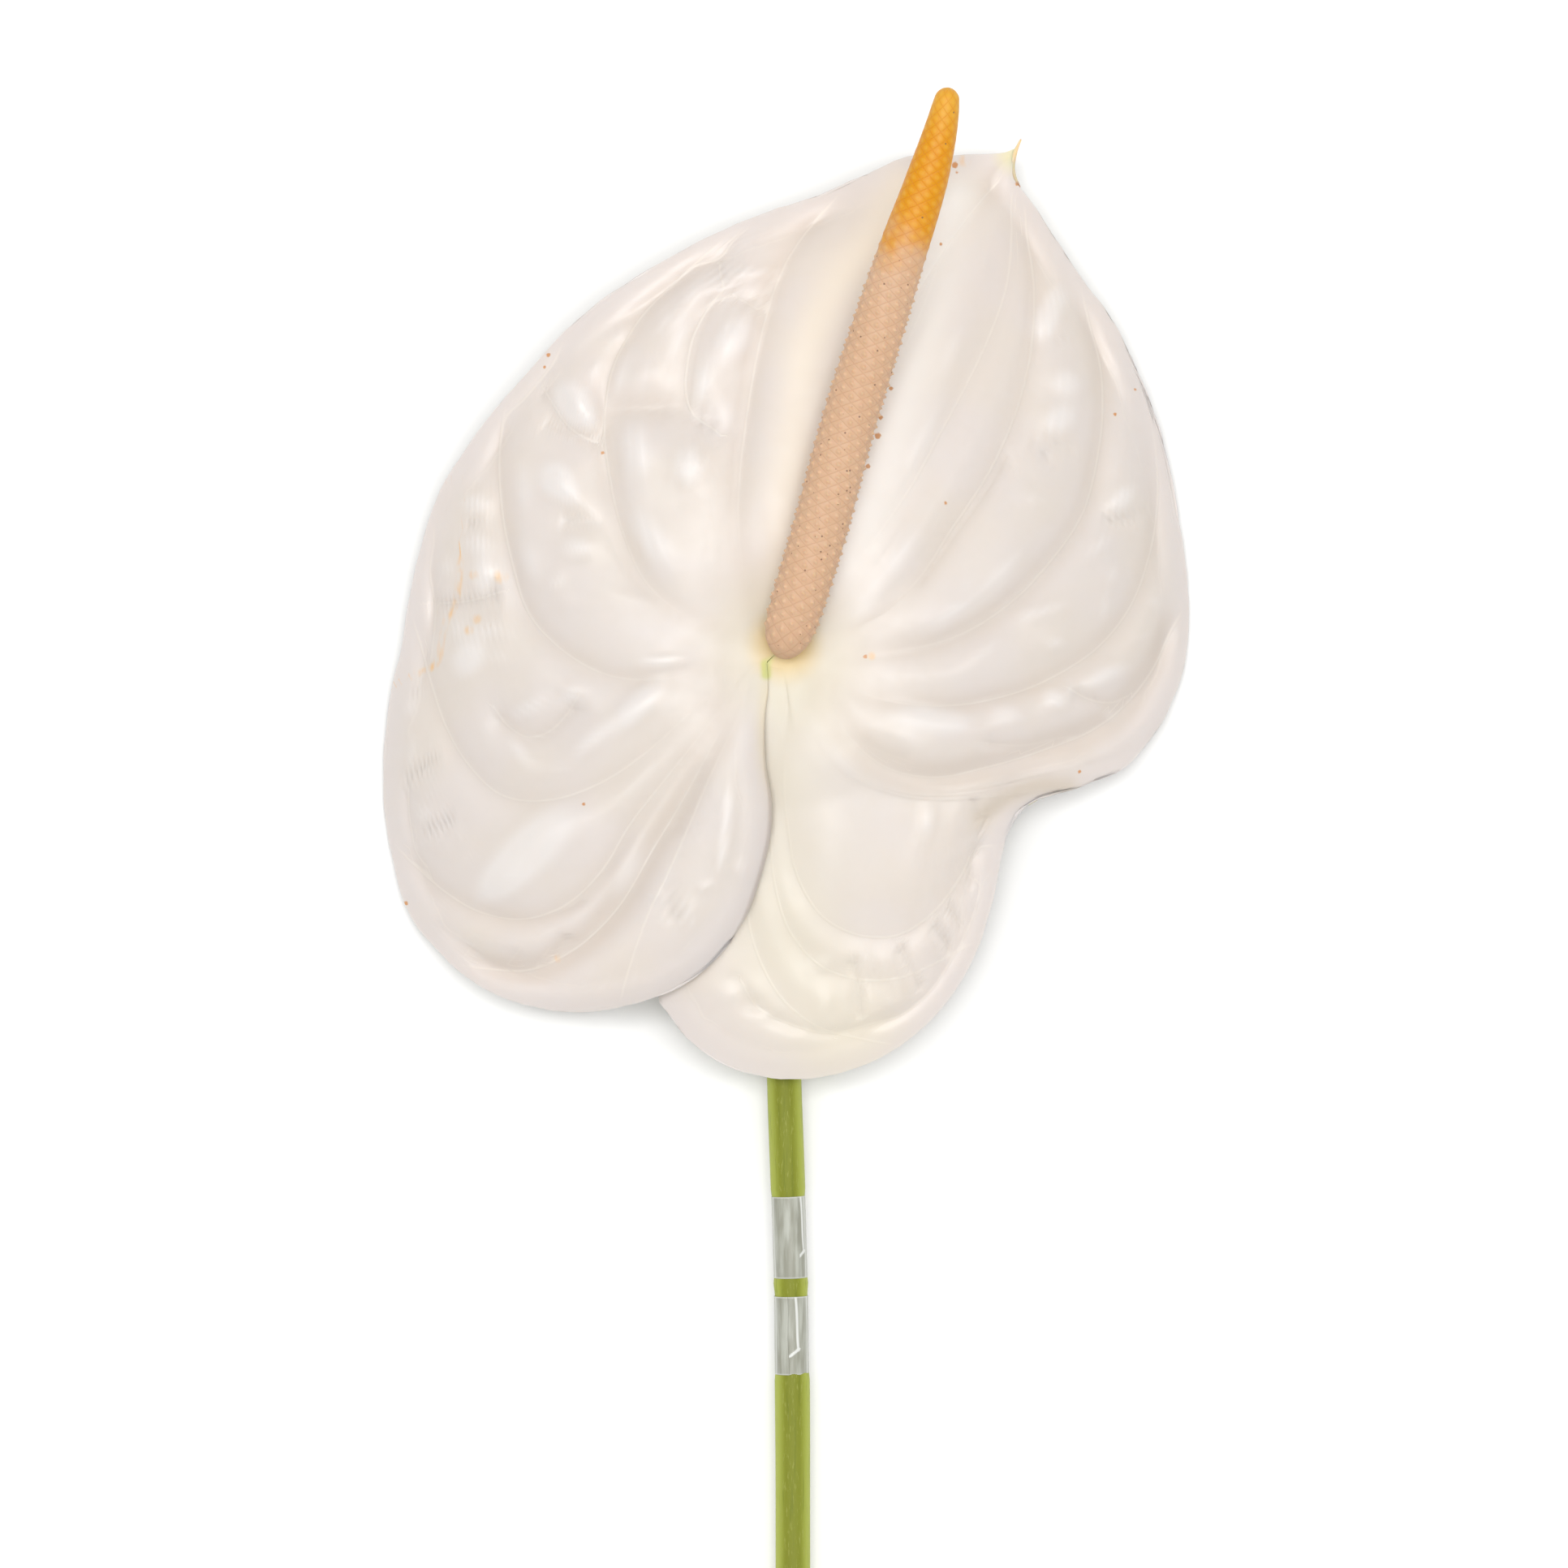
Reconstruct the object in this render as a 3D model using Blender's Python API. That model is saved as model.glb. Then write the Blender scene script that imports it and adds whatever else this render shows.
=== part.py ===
"""Cut anthurium, laid down with its face up: spathe, spadix, stem and two tape bands.

Lengths are in millimetres about the neck, the point where the blade joins the stem: x to the
right, y towards the blade's tip, z up from the surface that the flower lies on.
"""
import math

import bmesh
import bpy
import numpy as np

MM = 0.001
# The neck's place from the middle of the flower's box
NECK_PLACE = (-0.9, 152.0)

# Blade of the spathe
BLADE_THICKNESS = 0.8
NECK_HEIGHT = 23.0
NECK_RING = 3.2
DOME_HEIGHT = 25.5
DOME_MIDDLE = 0.6
DOME_HALF_WIDTH = 70.0
DOME_SIDE_DROP = 23.1
DOME_LENGTH = 90.0
DOME_END_DROP = 9.0
LOBE_LIFT = 1.3
LOBE_DROP = 5.6
ROLL_WIDTH = 5.0
ROLL_DROP = 2.4
FURROW_WIDTH = 2.2
BULGE_HEIGHT = 1.7
PLEAT_DROP = 2.4
PLEAT_WIDTH = 2.2
COLUMNS = 92
EVEN_LENGTH = 57.0
ROWS = (0.0, 0.06, 0.13, 0.21, 0.3, 0.39, 0.48, 0.57, 0.66, 0.74, 0.81, 0.87, 0.92, 0.96, 0.985, 1.0)

# Spadix: its middle line, and its radius at shares of that line's length
SPADIX_LINE = (
    (0.8, 0.9, 24.1), (0.9, 1.2, 26.6), (1.4, 3.0, 29.2), (2.7, 7.2, 31.0), (6.6, 20.0, 33.2),
    (11.5, 38.1, 35.9), (16.2, 53.3, 38.2), (20.6, 67.1, 40.3), (25.0, 80.1, 42.3),
    (27.4, 88.9, 43.6), (28.6, 95.0, 44.6),
)
SPADIX_RADII = (
    (0.0, 2.4), (0.02, 2.9), (0.045, 3.9), (0.075, 4.4), (0.12, 4.55), (0.25, 4.65), (0.5, 4.6),
    (0.65, 4.3), (0.76, 4.0), (0.85, 3.5), (0.92, 2.9), (0.96, 2.45), (0.985, 1.7), (1.0, 0.0),
)
FLORETS_AROUND = 12
FLORET_ROWS = 80
FLORET_TWIST = 0.11
FLORET_RELIEF = 0.35

# Stem and the tape wound round it
STEM_RADIUS = 3.02
STEM_SIDES = 12
STEM_RINGS = 40
STEM_LINE = (
    (0.6, 0.2, 22.2), (0.5, 0.0, 19.5), (0.3, -2.6, 14.2), (0.1, -9.5, 10.9), (0.1, -20.0, 9.4),
    (0.3, -40.0, 8.3), (0.6, -75.0, 7.2), (1.2, -92.0, 6.8), (1.7, -108.0, 6.4), (2.0, -128.0, 6.0),
    (2.1, -158.0, 5.5), (1.8, -220.0, 4.6), (0.4, -310.0, 3.6), (-2.0, -398.4, 3.1),
)
CUT_SLANT = 0.35
TAPE_SPANS = {"tape_upper": (-94.9, -109.1), "tape_lower": (-112.3, -125.9)}
TAPE_WAIST = 0.4
TAPE_RADIUS = 3.12
TAPE_THICKNESS = 0.3

# The blade's margin, from the left lobe round by the tip to where the right lobe goes under it
MARGIN = (
    (-8.8, -50.3), (-12.6, -54.6), (-16.9, -57.7), (-22, -60.1), (-28.1, -61.7), (-36.1, -62.7),
    (-43.1, -61.7), (-49.1, -59.8), (-54.6, -56.7), (-59.6, -52.2), (-63.1, -48.3), (-65.7, -43.4),
    (-67.5, -36.7), (-68.9, -29.4), (-69.3, -22.1), (-68.7, -12.9), (-67.5, -5.6), (-66.1, 0.1),
    (-64.7, 8.4), (-63.3, 15.1), (-61.2, 22.4), (-58.9, 28.3), (-55.3, 33.9), (-50.7, 40.2),
    (-43.8, 48), (-36.5, 55.9), (-29.7, 61.3), (-23.4, 65.2), (-13, 71), (-2.4, 75.5), (7.4, 78.8),
    (15.1, 82.3), (22.7, 85.5), (27.7, 85), (32.9, 85.4), (36.8, 85.6), (39.4, 86.0), (40.6, 86.7),
    (41.6, 87.9), (41.3, 86.2), (40.4, 84.8), (39.9, 83.4), (40.3, 81.8), (41.3, 80.4), (43.5, 77.7),
    (48.4, 70.4), (52.4, 64.3), (56.8, 58.8), (61.3, 50.3), (66.2, 37.9), (69.3, 23.2), (71, 10.4),
    (71, 3.1), (69.9, -4.1), (68.2, -8.4), (65.8, -13.3), (62.4, -17.6), (59.2, -20.7), (54.6, -22.5),
    (50.4, -24.2), (46.8, -24.6), (43.4, -26), (40.6, -28.4), (39.2, -31.4), (38.1, -35.7),
    (37, -41.7), (35.6, -47), (33.5, -52.9), (30.2, -58.8), (25.9, -64.1), (20.6, -68.5),
    (14.7, -71.7), (8.8, -73.5), (2.4, -74.3), (-2.4, -73.9), (-7.8, -72.5), (-12.6, -70),
    (-16.4, -66.9), (-19, -63.6), (-21, -60.8),
)
# The veins that the blade is built on: the angle at which each leaves the neck, the depth of its
# furrow, and its points from there out to the margin
VEINS = (
    # left lobe's inner margin
    (222, 0, (
        (-2.2, -6.7), (-2.8, -11.2), (-2.7, -20.3), (-1.8, -25.9), (-1.8, -30.4), (-2.7, -35.7),
        (-4.1, -40.6), (-5.9, -45.4), (-8.8, -50.3),
    )),
    (213, 0.2, (
        (-5, -4.9), (-7.3, -11.3), (-11.8, -21.3), (-15.7, -30.5), (-19.3, -38.5), (-22.7, -45.5),
        (-25.3, -52.5), (-28.1, -61.7),
    )),
    (205, 1.3, (
        (-5.7, -4.2), (-10.4, -14), (-16.4, -25.2), (-22.3, -35), (-28.8, -45.5), (-36.1, -52.1),
        (-43.3, -55.3), (-50.7, -55.4), (-57.4, -54.3),
    )),
    (196, 0.8, (
        (-6.7, -4.5), (-10.9, -10.9), (-19.3, -21.7), (-25.9, -30.1), (-31.1, -38.5), (-37.2, -44.1),
        (-45.1, -46.6), (-52.8, -45.1), (-57.7, -42.3), (-61.9, -38.9), (-65.4, -35.7), (-68.3, -32.6),
    )),
    (186, 0.7, (
        (-6.6, -2.5), (-13.3, -8.7), (-22.3, -17.1), (-31.2, -23.1), (-39.6, -25.9), (-48, -25.2),
        (-54.3, -19.5), (-57.7, -13.9), (-60.1, -7.3), (-62.2, 0), (-64.7, 8.1),
    )),
    (175, 0.8, (
        (-5.9, -0.8), (-13.3, -3.6), (-21.3, -5.3), (-29.5, -4.5), (-37.2, -0.4), (-43.3, 6),
        (-46.2, 14.6), (-47.9, 22.4), (-48.6, 30.1), (-48.4, 37.1), (-47.2, 44.2),
    )),
    (155, 0.9, (
        (-5.2, 1.4), (-11.5, 3.9), (-17.1, 6.2), (-23.4, 11.9), (-26.9, 19.6), (-29.4, 29.4),
        (-30.4, 39.2), (-28.7, 49), (-24.5, 56.7), (-17.8, 63.7), (-6.6, 73.8),
    )),
    (122, 0.9, (
        (-3.4, 5), (-6.2, 12.3), (-7.3, 21.8), (-7.1, 29.4), (-6.2, 37.5), (-4.8, 46.9), (-2.5, 57.4),
        (0.8, 66.5), (5.3, 73.1), (12.3, 81.1),
    )),
    # midrib, to the curled tip
    (78, 1, (
        (1.4, 7.7), (4.6, 18.9), (9.2, 32.2), (14, 43.4), (19.3, 54.6), (24.6, 63.7), (30.2, 72.1),
        (35.3, 78.7), (38.4, 82.3), (39.9, 85), (41.6, 87.9),
    )),
    (52, 0.5, (
        (3.9, 4.9), (10.2, 11.2), (17.2, 20.3), (22.8, 28.7), (27.7, 37.8), (32.2, 46.2), (36.4, 55.3),
        (39.1, 63.7), (39.8, 71.4), (39.9, 77), (40.5, 81.8),
    )),
    (28, 0.8, (
        (5.3, 2.1), (11.6, 3.5), (17.9, 6.7), (23.5, 11.9), (29.1, 20.3), (34.7, 28.7), (39.6, 38.5),
        (42.4, 47.6), (43.7, 56), (43.7, 63.7), (42.8, 70.7), (42, 79.5),
    )),
    (8, 1, (
        (6.7, -0.4), (13.7, -0.8), (22.1, 0), (30.5, 2.4), (39.6, 8.1), (46.6, 15.4), (52.2, 23.8),
        (54.6, 32.2), (55.7, 40.6), (55.4, 49), (53.6, 56.7), (51.2, 66.1),
    )),
    (-10, 0.9, (
        (7, -3.1), (12.3, -6.7), (20.3, -9.2), (29.1, -9.7), (38.2, -8.1), (47.3, -4.5), (55, 0.7),
        (60.6, 7.7), (63.8, 16.1), (65.5, 25.2), (65.2, 35), (63, 46.2),
    )),
    (-26, 1.4, (
        (5.7, -4.5), (8.3, -9.5), (12, -15.4), (17.9, -20.2), (26, -22), (35.4, -20.3), (45.9, -17.1),
        (53.6, -14), (59.6, -9.5), (64.4, -3.5), (68, 3.5), (71, 9.1),
    )),
    (-38, 0, (
        (5, -5.7), (7.6, -11.5), (11.2, -16.9), (17.1, -21.6), (25.2, -23.5), (34.2, -22.7),
        (43.4, -20.4), (52.9, -18.2), (60.3, -15.1), (65.2, -11.2), (69, -6.4),
    )),
    # lip over the pleat
    (-50, 0, (
        (4.1, -6.6), (6.4, -13), (10.1, -18.3), (16, -22.7), (24.1, -24.8), (32.6, -24.4),
        (41.4, -22.4), (50.8, -20.7), (60.9, -19.2),
    )),
    # crease of the pleat
    (-62, 0, (
        (2.8, -7.3), (5, -14.3), (8.7, -19.9), (14.6, -23.8), (21.8, -26.2), (28.8, -26.9),
        (35, -26.6), (39.8, -26), (43.4, -26),
    )),
    (-74, 0, (
        (1.5, -7.8), (2.9, -15.1), (5.9, -22), (11.2, -27), (18.2, -30.2), (25.8, -31.2), (33.3, -30),
        (40.6, -28.4),
    )),
    (-86, 0.5, (
        (1.1, -7), (1.1, -14.7), (0.6, -22.4), (1.3, -30.8), (3.2, -39.9), (7.4, -46.2), (13.7, -49.3),
        (20, -49.3), (25.6, -45.9), (30.5, -39.9), (34, -34.3), (38.5, -33.6),
    )),
    (-97, 0.3, (
        (-0.1, -7.3), (-0.8, -14.7), (-1.7, -23.1), (-1.7, -31.5), (-1, -40.6), (1.8, -49),
        (7.4, -54.9), (14.4, -57), (21.4, -56.4), (27.7, -53.5), (34.4, -50.1),
    )),
    (-107, 0.3, (
        (-1.1, -7), (-2.4, -14.7), (-4.2, -24.5), (-5.6, -34.3), (-5.9, -44.1), (-3.8, -53.2),
        (0.8, -60.9), (7.4, -65.5), (13.7, -67.2), (20.6, -68.5),
    )),
    (-116, 0, (
        (-2, -6.9), (-3.5, -14.7), (-6.6, -25.2), (-9.8, -35.7), (-12, -44.8), (-12.5, -53.9),
        (-10.8, -61.6), (-6.6, -67.9), (0, -74.2),
    )),
    # right lobe's inner margin, under the left lobe
    (-136, 0, (
        (-2.9, -6.2), (-4.4, -13.3), (-7.6, -23.1), (-11.8, -34.3), (-16.4, -44.1), (-19.9, -51.8),
        (-21.1, -56.7), (-21, -60.8),
    )),
)

# Places of two of the veins in that list, and the tip of the blade
MIDRIB = 8
PLEAT = 16
TIP = VEINS[MIDRIB][2][-1]


def smooth_line(points, steps=10):
    """A smooth curve through the points, with its tangents weighted by the gaps beside them."""
    p = np.array(points, float)
    gaps = np.linalg.norm(np.diff(p, axis=0), axis=1)[:, None]
    slopes = np.diff(p, axis=0) / gaps
    inner = (gaps[1:] * slopes[:-1] + gaps[:-1] * slopes[1:]) / (gaps[1:] + gaps[:-1])
    tangents = np.vstack([slopes[:1], inner, slopes[-1:]])
    pieces = []
    for step in range(steps):
        t = step / steps
        pieces.append(
            (2 * t**3 - 3 * t**2 + 1) * p[:-1] + (t**3 - 2 * t**2 + t) * gaps * tangents[:-1]
            + (3 * t**2 - 2 * t**3) * p[1:] + (t**3 - t**2) * gaps * tangents[1:]
        )
    return np.vstack([np.stack(pieces, axis=1).reshape(-1, p.shape[1]), p[-1:]])


def lengths(line):
    return np.concatenate([[0.0], np.cumsum(np.linalg.norm(np.diff(line, axis=0), axis=1))])


def read_line(line, places):
    """The points that lie at these lengths along the line."""
    along = lengths(line)
    return np.column_stack([np.interp(places, along, axis) for axis in line.T])


def ramp(value, low, high):
    """0 below low, 1 above high, and an even S between them."""
    t = np.clip((value - low) / (high - low), 0.0, 1.0)
    return t * t * (3 - 2 * t)


def distance_to(points, line):
    """Distance in plan from each point to the nearest point of a finely divided line."""
    return np.linalg.norm(points[:, None, :] - line[None, :, :], axis=2).min(axis=1)


def blade_columns():
    """Each column of the blade's grid: its vein gap, its share of that gap, and its end on the margin."""
    margin = smooth_line(MARGIN)
    along = lengths(margin)
    ends = []
    for _, _, points in VEINS:
        nearest = np.argmin(np.linalg.norm(margin - np.array(points[-1]), axis=1))
        ends.append(along[nearest])
    ends[0] = 0.0
    ends[-1] = along[-1]
    columns = []
    for gap, (first, last) in enumerate(zip(ends, ends[1:])):
        count = max(2, round(COLUMNS * (last - first) / along[-1]))
        columns += [(gap, step / count, first + (last - first) * step / count) for step in range(count)]
    columns.append((len(VEINS) - 2, 1.0, along[-1]))
    return margin, columns


def blade_points():
    """The middle of the blade's thickness: a column of points for each place on the margin."""
    margin, columns = blade_columns()
    rows = np.array(ROWS)
    veins = []
    for start, _, points in VEINS:
        angle = math.radians(start)
        ring = (NECK_RING * math.cos(angle), NECK_RING * math.sin(angle))
        line = smooth_line((ring,) + points)
        total = lengths(line)[-1]
        # rows leave the neck evenly on short and long veins alike
        pace = 1 + math.log(total / EVEN_LENGTH) / math.log(5)
        veins.append(read_line(line, rows**pace * total))
    ends = read_line(margin, np.array([end for _, _, end in columns]))
    left_edge = np.vstack([margin[: len(margin) * 60 // 100], veins[0]])
    right_edge = np.vstack([margin[len(margin) * 35 // 100:], veins[-1]])
    grid = []
    for (gap, share, _), end in zip(columns, ends):
        plan = veins[gap] * (1 - share) + veins[gap + 1] * share
        plan = plan + (rows**3)[:, None] * (end - plan[-1])
        width = np.linalg.norm(veins[gap + 1] - veins[gap], axis=1)
        edge = distance_to(plan, left_edge if gap < MIDRIB else right_edge)
        height = blade_height(plan, gap, share, width, edge, distance_to(plan, veins[PLEAT]))
        grid.append(np.vstack([(0.0, 0.0, NECK_HEIGHT), np.column_stack([plan, height])]))
    return np.array(grid)


def blade_height(plan, gap, share, width, edge, from_pleat):
    """Dome, lobes one over the other, rolled margin, and bulges between sunken veins."""
    x, y = plan[:, 0], plan[:, 1]
    reach = np.hypot(x, y)
    height = DOME_HEIGHT - DOME_SIDE_DROP * np.abs((x - DOME_MIDDLE) / DOME_HALF_WIDTH) ** 2.2
    height -= DOME_END_DROP * (y / DOME_LENGTH) ** 2
    height += (NECK_HEIGHT - DOME_HEIGHT) * np.exp(-((reach / 14.0) ** 2))
    away = ramp(reach, NECK_RING, 24.0)
    bulge = BULGE_HEIGHT * (4 * share * (1 - share)) ** 0.8 * np.clip(width / 16.0, 0.0, 1.0)
    furrow = VEINS[gap][1] * np.exp(-((share * width / FURROW_WIDTH) ** 2))
    furrow += VEINS[gap + 1][1] * np.exp(-(((1 - share) * width / FURROW_WIDTH) ** 2))
    height += away * ramp(edge, 0.0, 2 * ROLL_WIDTH) * (bulge - furrow)
    from_tip = np.hypot(x - TIP[0], y - TIP[1])
    rolled = np.clip(1 - edge / ROLL_WIDTH, 0.0, 1.0) ** 2
    height -= away * ROLL_DROP * rolled * ramp(from_tip, 3.0, 14.0)
    lobe = np.clip((reach - NECK_RING) / 14.0, 0.0, 1.0)
    if gap < MIDRIB:
        return height + LOBE_LIFT * lobe * (1 - ramp(gap + share, 0.0, 4.0))
    height -= LOBE_DROP * lobe * ramp(gap + share, PLEAT - 2.0, PLEAT + 3.0)
    return height - PLEAT_DROP * np.exp(-((from_pleat / PLEAT_WIDTH) ** 2)) * ramp(reach, 20.0, 38.0)


def new_object(name, mesh_maker, colour, roughness):
    """One sub-part: its mesh, smooth shading with sharp edges, and its own material."""
    mesh = bpy.data.meshes.new(name)
    bm = bmesh.new()
    mesh_maker(bm)
    bmesh.ops.recalc_face_normals(bm, faces=bm.faces)
    bm.to_mesh(mesh)
    bm.free()
    mesh.shade_smooth()
    mesh.set_sharp_from_angle(angle=math.radians(40))
    material = bpy.data.materials.new(name)
    material.use_nodes = True
    shader = material.node_tree.nodes["Principled BSDF"]
    shader.inputs["Base Color"].default_value = (*colour, 1.0)
    shader.inputs["Roughness"].default_value = roughness
    mesh.materials.append(material)
    piece = bpy.data.objects.new(name, mesh)
    piece.parent = flower
    bpy.context.scene.collection.objects.link(piece)
    return piece


def place_grid(bm, points):
    """A grid of vertices moved to an array of points, columns first; it returns their two layers."""
    row_layer = bm.verts.layers.int.new("row")
    column_layer = bm.verts.layers.int.new("column")
    columns, rows = points.shape[0] - 1, points.shape[1] - 1
    made = bmesh.ops.create_grid(bm, x_segments=columns, y_segments=rows, size=1.0)
    for vertex in made["verts"]:
        vertex[column_layer] = round((vertex.co.x + 1) / 2 * columns)
        vertex[row_layer] = round((vertex.co.y + 1) / 2 * rows)
        vertex.co = points[vertex[column_layer], vertex[row_layer]] * MM
    return row_layer, column_layer


def blade(bm):
    """The blade as one triangulated sheet; its thickness comes from a Solidify modifier."""
    place_grid(bm, blade_points())
    bmesh.ops.remove_doubles(bm, verts=bm.verts, dist=0.01 * MM)
    bmesh.ops.triangulate(bm, faces=bm.faces, quad_method="FIXED")


def swept(line, places, radii, sides, turn=0.0, slant=0.0):
    """Rings of points round a line at places along it; a radius for each side and place."""
    line = smooth_line(line)
    centres = read_line(line, places)
    ahead = read_line(line, places + 0.4) - read_line(line, places - 0.4)
    ahead /= np.linalg.norm(ahead, axis=1)[:, None]
    across = np.array([1.0, 0.0, 0.0]) - ahead * ahead[:, :1]
    across /= np.linalg.norm(across, axis=1)[:, None]
    upward = np.cross(across, ahead)
    around = np.arange(sides + 1) % sides
    angles = 2 * math.pi * (around + 0.5)[:, None] / sides + turn * np.arange(len(places))[None, :]
    radii = radii[around % radii.shape[0]]
    points = centres + radii[..., None] * (
        np.cos(angles)[..., None] * across + np.sin(angles)[..., None] * upward
    )
    points[:, -1] += slant * (points[:, -1] - centres[-1])[:, 2:] * ahead[-1]
    return points


def close_ends(bm):
    bmesh.ops.remove_doubles(bm, verts=bm.verts, dist=0.001 * MM)
    bmesh.ops.holes_fill(bm, edges=bm.edges, sides=0)


def spadix(bm):
    """A tapered finger covered with low four-sided pyramids, one for each floret."""
    sides = 2 * FLORETS_AROUND
    shares = np.concatenate([[0.0, 0.012, 0.024], np.linspace(0.036, 0.985, FLORET_ROWS), [1.0]])
    total = lengths(smooth_line(SPADIX_LINE))[-1]
    radius = np.interp(shares, *zip(*SPADIX_RADII))
    height = FLORET_RELIEF * ramp(shares, 0.03, 0.07) * (1 - ramp(shares, 0.9, 0.98))
    raised = (np.arange(sides)[:, None] + np.arange(len(shares))[None, :]) % 2
    points = swept(
        SPADIX_LINE, shares * total, radius + height * (raised - 0.5), sides,
        turn=FLORET_TWIST * math.pi / FLORETS_AROUND,
    )
    row, column = place_grid(bm, points)
    for face in list(bm.faces):
        low = [corner for corner in face.verts if (corner[row] + corner[column]) % 2 == 0]
        bmesh.utils.face_split(face, low[0], low[1])
    close_ends(bm)


def stem(bm):
    """The round stalk, from its neck behind the blade down to a slanting cut."""
    line = smooth_line(STEM_LINE)
    total = lengths(line)[-1]
    places = list(np.linspace(0.0, 1.0, STEM_RINGS) ** 1.3 * total)
    waists = []
    for top, bottom in TAPE_SPANS.values():
        first, last = np.interp([-top, -bottom], -line[:, 1], lengths(line))
        waists.append((first - 0.35, last + 0.35))
        places = [place for place in places if not first - 2.0 < place < last + 2.0]
        places += [first - 1.0, first - 0.35, last + 0.35, last + 1.0]
    places = np.array(sorted(places))
    radius = np.full(len(places), STEM_RADIUS)
    for first, last in waists:
        radius[(places >= first) & (places <= last)] -= TAPE_WAIST
    place_grid(bm, swept(STEM_LINE, places, radius[None, :], STEM_SIDES, slant=CUT_SLANT))
    close_ends(bm)


def tape(bm, span):
    """One clear band, as a sleeve; its thickness comes from a Solidify modifier."""
    line = smooth_line(STEM_LINE)
    places = np.interp([-span[0], -span[1]], -line[:, 1], lengths(line))
    place_grid(bm, swept(STEM_LINE, places, np.full((1, 2), TAPE_RADIUS), STEM_SIDES))
    bmesh.ops.remove_doubles(bm, verts=bm.verts, dist=0.001 * MM)


def thicken(piece, thickness, offset):
    solid = piece.modifiers.new("thickness", "SOLIDIFY")
    solid.thickness = thickness * MM
    solid.offset = offset


def lay_flat(piece):
    """Give the blade its thickness for good, and level the low spots that it lies on."""
    shaped = piece.evaluated_get(bpy.context.evaluated_depsgraph_get())
    piece.data = bpy.data.meshes.new_from_object(shaped)
    piece.modifiers.clear()
    for vertex in piece.data.vertices:
        vertex.co.z = max(vertex.co.z, 0.0)


for old in list(bpy.data.objects):
    bpy.data.objects.remove(old, do_unlink=True)

flower = bpy.data.objects.new("flower", None)
bpy.context.scene.collection.objects.link(flower)
flower.location = (NECK_PLACE[0] * MM, NECK_PLACE[1] * MM, 0.0)

spathe = new_object("spathe", blade, (0.84, 0.79, 0.73), 0.3)
thicken(spathe, BLADE_THICKNESS, 0.0)
lay_flat(spathe)
new_object("spadix", spadix, (0.78, 0.52, 0.28), 0.45)
new_object("stem", stem, (0.3, 0.37, 0.06), 0.35)
for band, span in TAPE_SPANS.items():
    sleeve = new_object(band, lambda bm: tape(bm, span), (0.62, 0.65, 0.52), 0.2)
    thicken(sleeve, TAPE_THICKNESS, -1.0)
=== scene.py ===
"""The looks of a cut anthurium that lies with its face up on a pale table."""
import math

import bmesh
import bpy
import numpy as np
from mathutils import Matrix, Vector, noise


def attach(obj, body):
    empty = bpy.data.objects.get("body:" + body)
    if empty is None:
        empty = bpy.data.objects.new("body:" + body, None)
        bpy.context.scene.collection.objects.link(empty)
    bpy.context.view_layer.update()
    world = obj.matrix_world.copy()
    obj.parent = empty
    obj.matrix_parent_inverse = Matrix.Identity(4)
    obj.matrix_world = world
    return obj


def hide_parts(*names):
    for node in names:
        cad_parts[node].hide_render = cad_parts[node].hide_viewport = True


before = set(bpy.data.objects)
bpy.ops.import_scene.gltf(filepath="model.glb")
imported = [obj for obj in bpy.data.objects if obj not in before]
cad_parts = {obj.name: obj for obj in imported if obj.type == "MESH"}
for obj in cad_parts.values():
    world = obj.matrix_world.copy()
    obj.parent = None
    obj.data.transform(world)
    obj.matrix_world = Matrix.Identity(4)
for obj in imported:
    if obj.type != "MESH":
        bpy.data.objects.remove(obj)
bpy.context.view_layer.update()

# Stem. The round green stalk that grew from the neck behind the blade, smooth with fine pale
# fibres along it. It was cut at a slant, so its end shows the paler pith with dots of bundles.
MM = 0.001
NECK_PLACE = (-0.9, 152.0)
STEM_RADIUS = 3.02
STEM_SIDES = 48
STEM_RINGS = 190
STEM_LINE = (
    (0.6, 0.2, 22.2), (0.5, 0.0, 19.5), (0.3, -2.6, 14.2), (0.1, -9.5, 10.9), (0.1, -20.0, 9.4),
    (0.3, -40.0, 8.3), (0.6, -75.0, 7.2), (1.2, -92.0, 6.8), (1.7, -108.0, 6.4), (2.0, -128.0, 6.0),
    (2.1, -158.0, 5.5), (1.8, -220.0, 4.6), (0.4, -310.0, 3.6), (-2.0, -398.4, 3.1),
)
STEM_UNEVEN = 0.05
CUT_SLANT = 0.35
CUT_RINGS = (0.985, 0.94, 0.82, 0.64, 0.42, 0.2, 0.0)
CUT_HOLLOW = 0.25
# Where the tape bands begin and end down the stem, and how far it is pressed in under them
TAPE_SPANS = {"tape_upper": (-94.9, -109.1), "tape_lower": (-112.3, -125.9)}
TAPE_WAIST = 0.2
STEM_GREEN = (0.165, 0.178, 0.013)
STEM_EDGE_GREEN = (0.25, 0.28, 0.03)
STEM_FLANK_SHEEN = (0.40, 0.45, 0.08)
FIBRE_PALE = (0.33, 0.35, 0.08)
FIBRE_DARK = (0.13, 0.16, 0.015)
PITH_PALE = (0.50, 0.54, 0.26)
PITH_DOT = (0.34, 0.4, 0.12)
PITH_TAN = (0.55, 0.5, 0.28)


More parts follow.
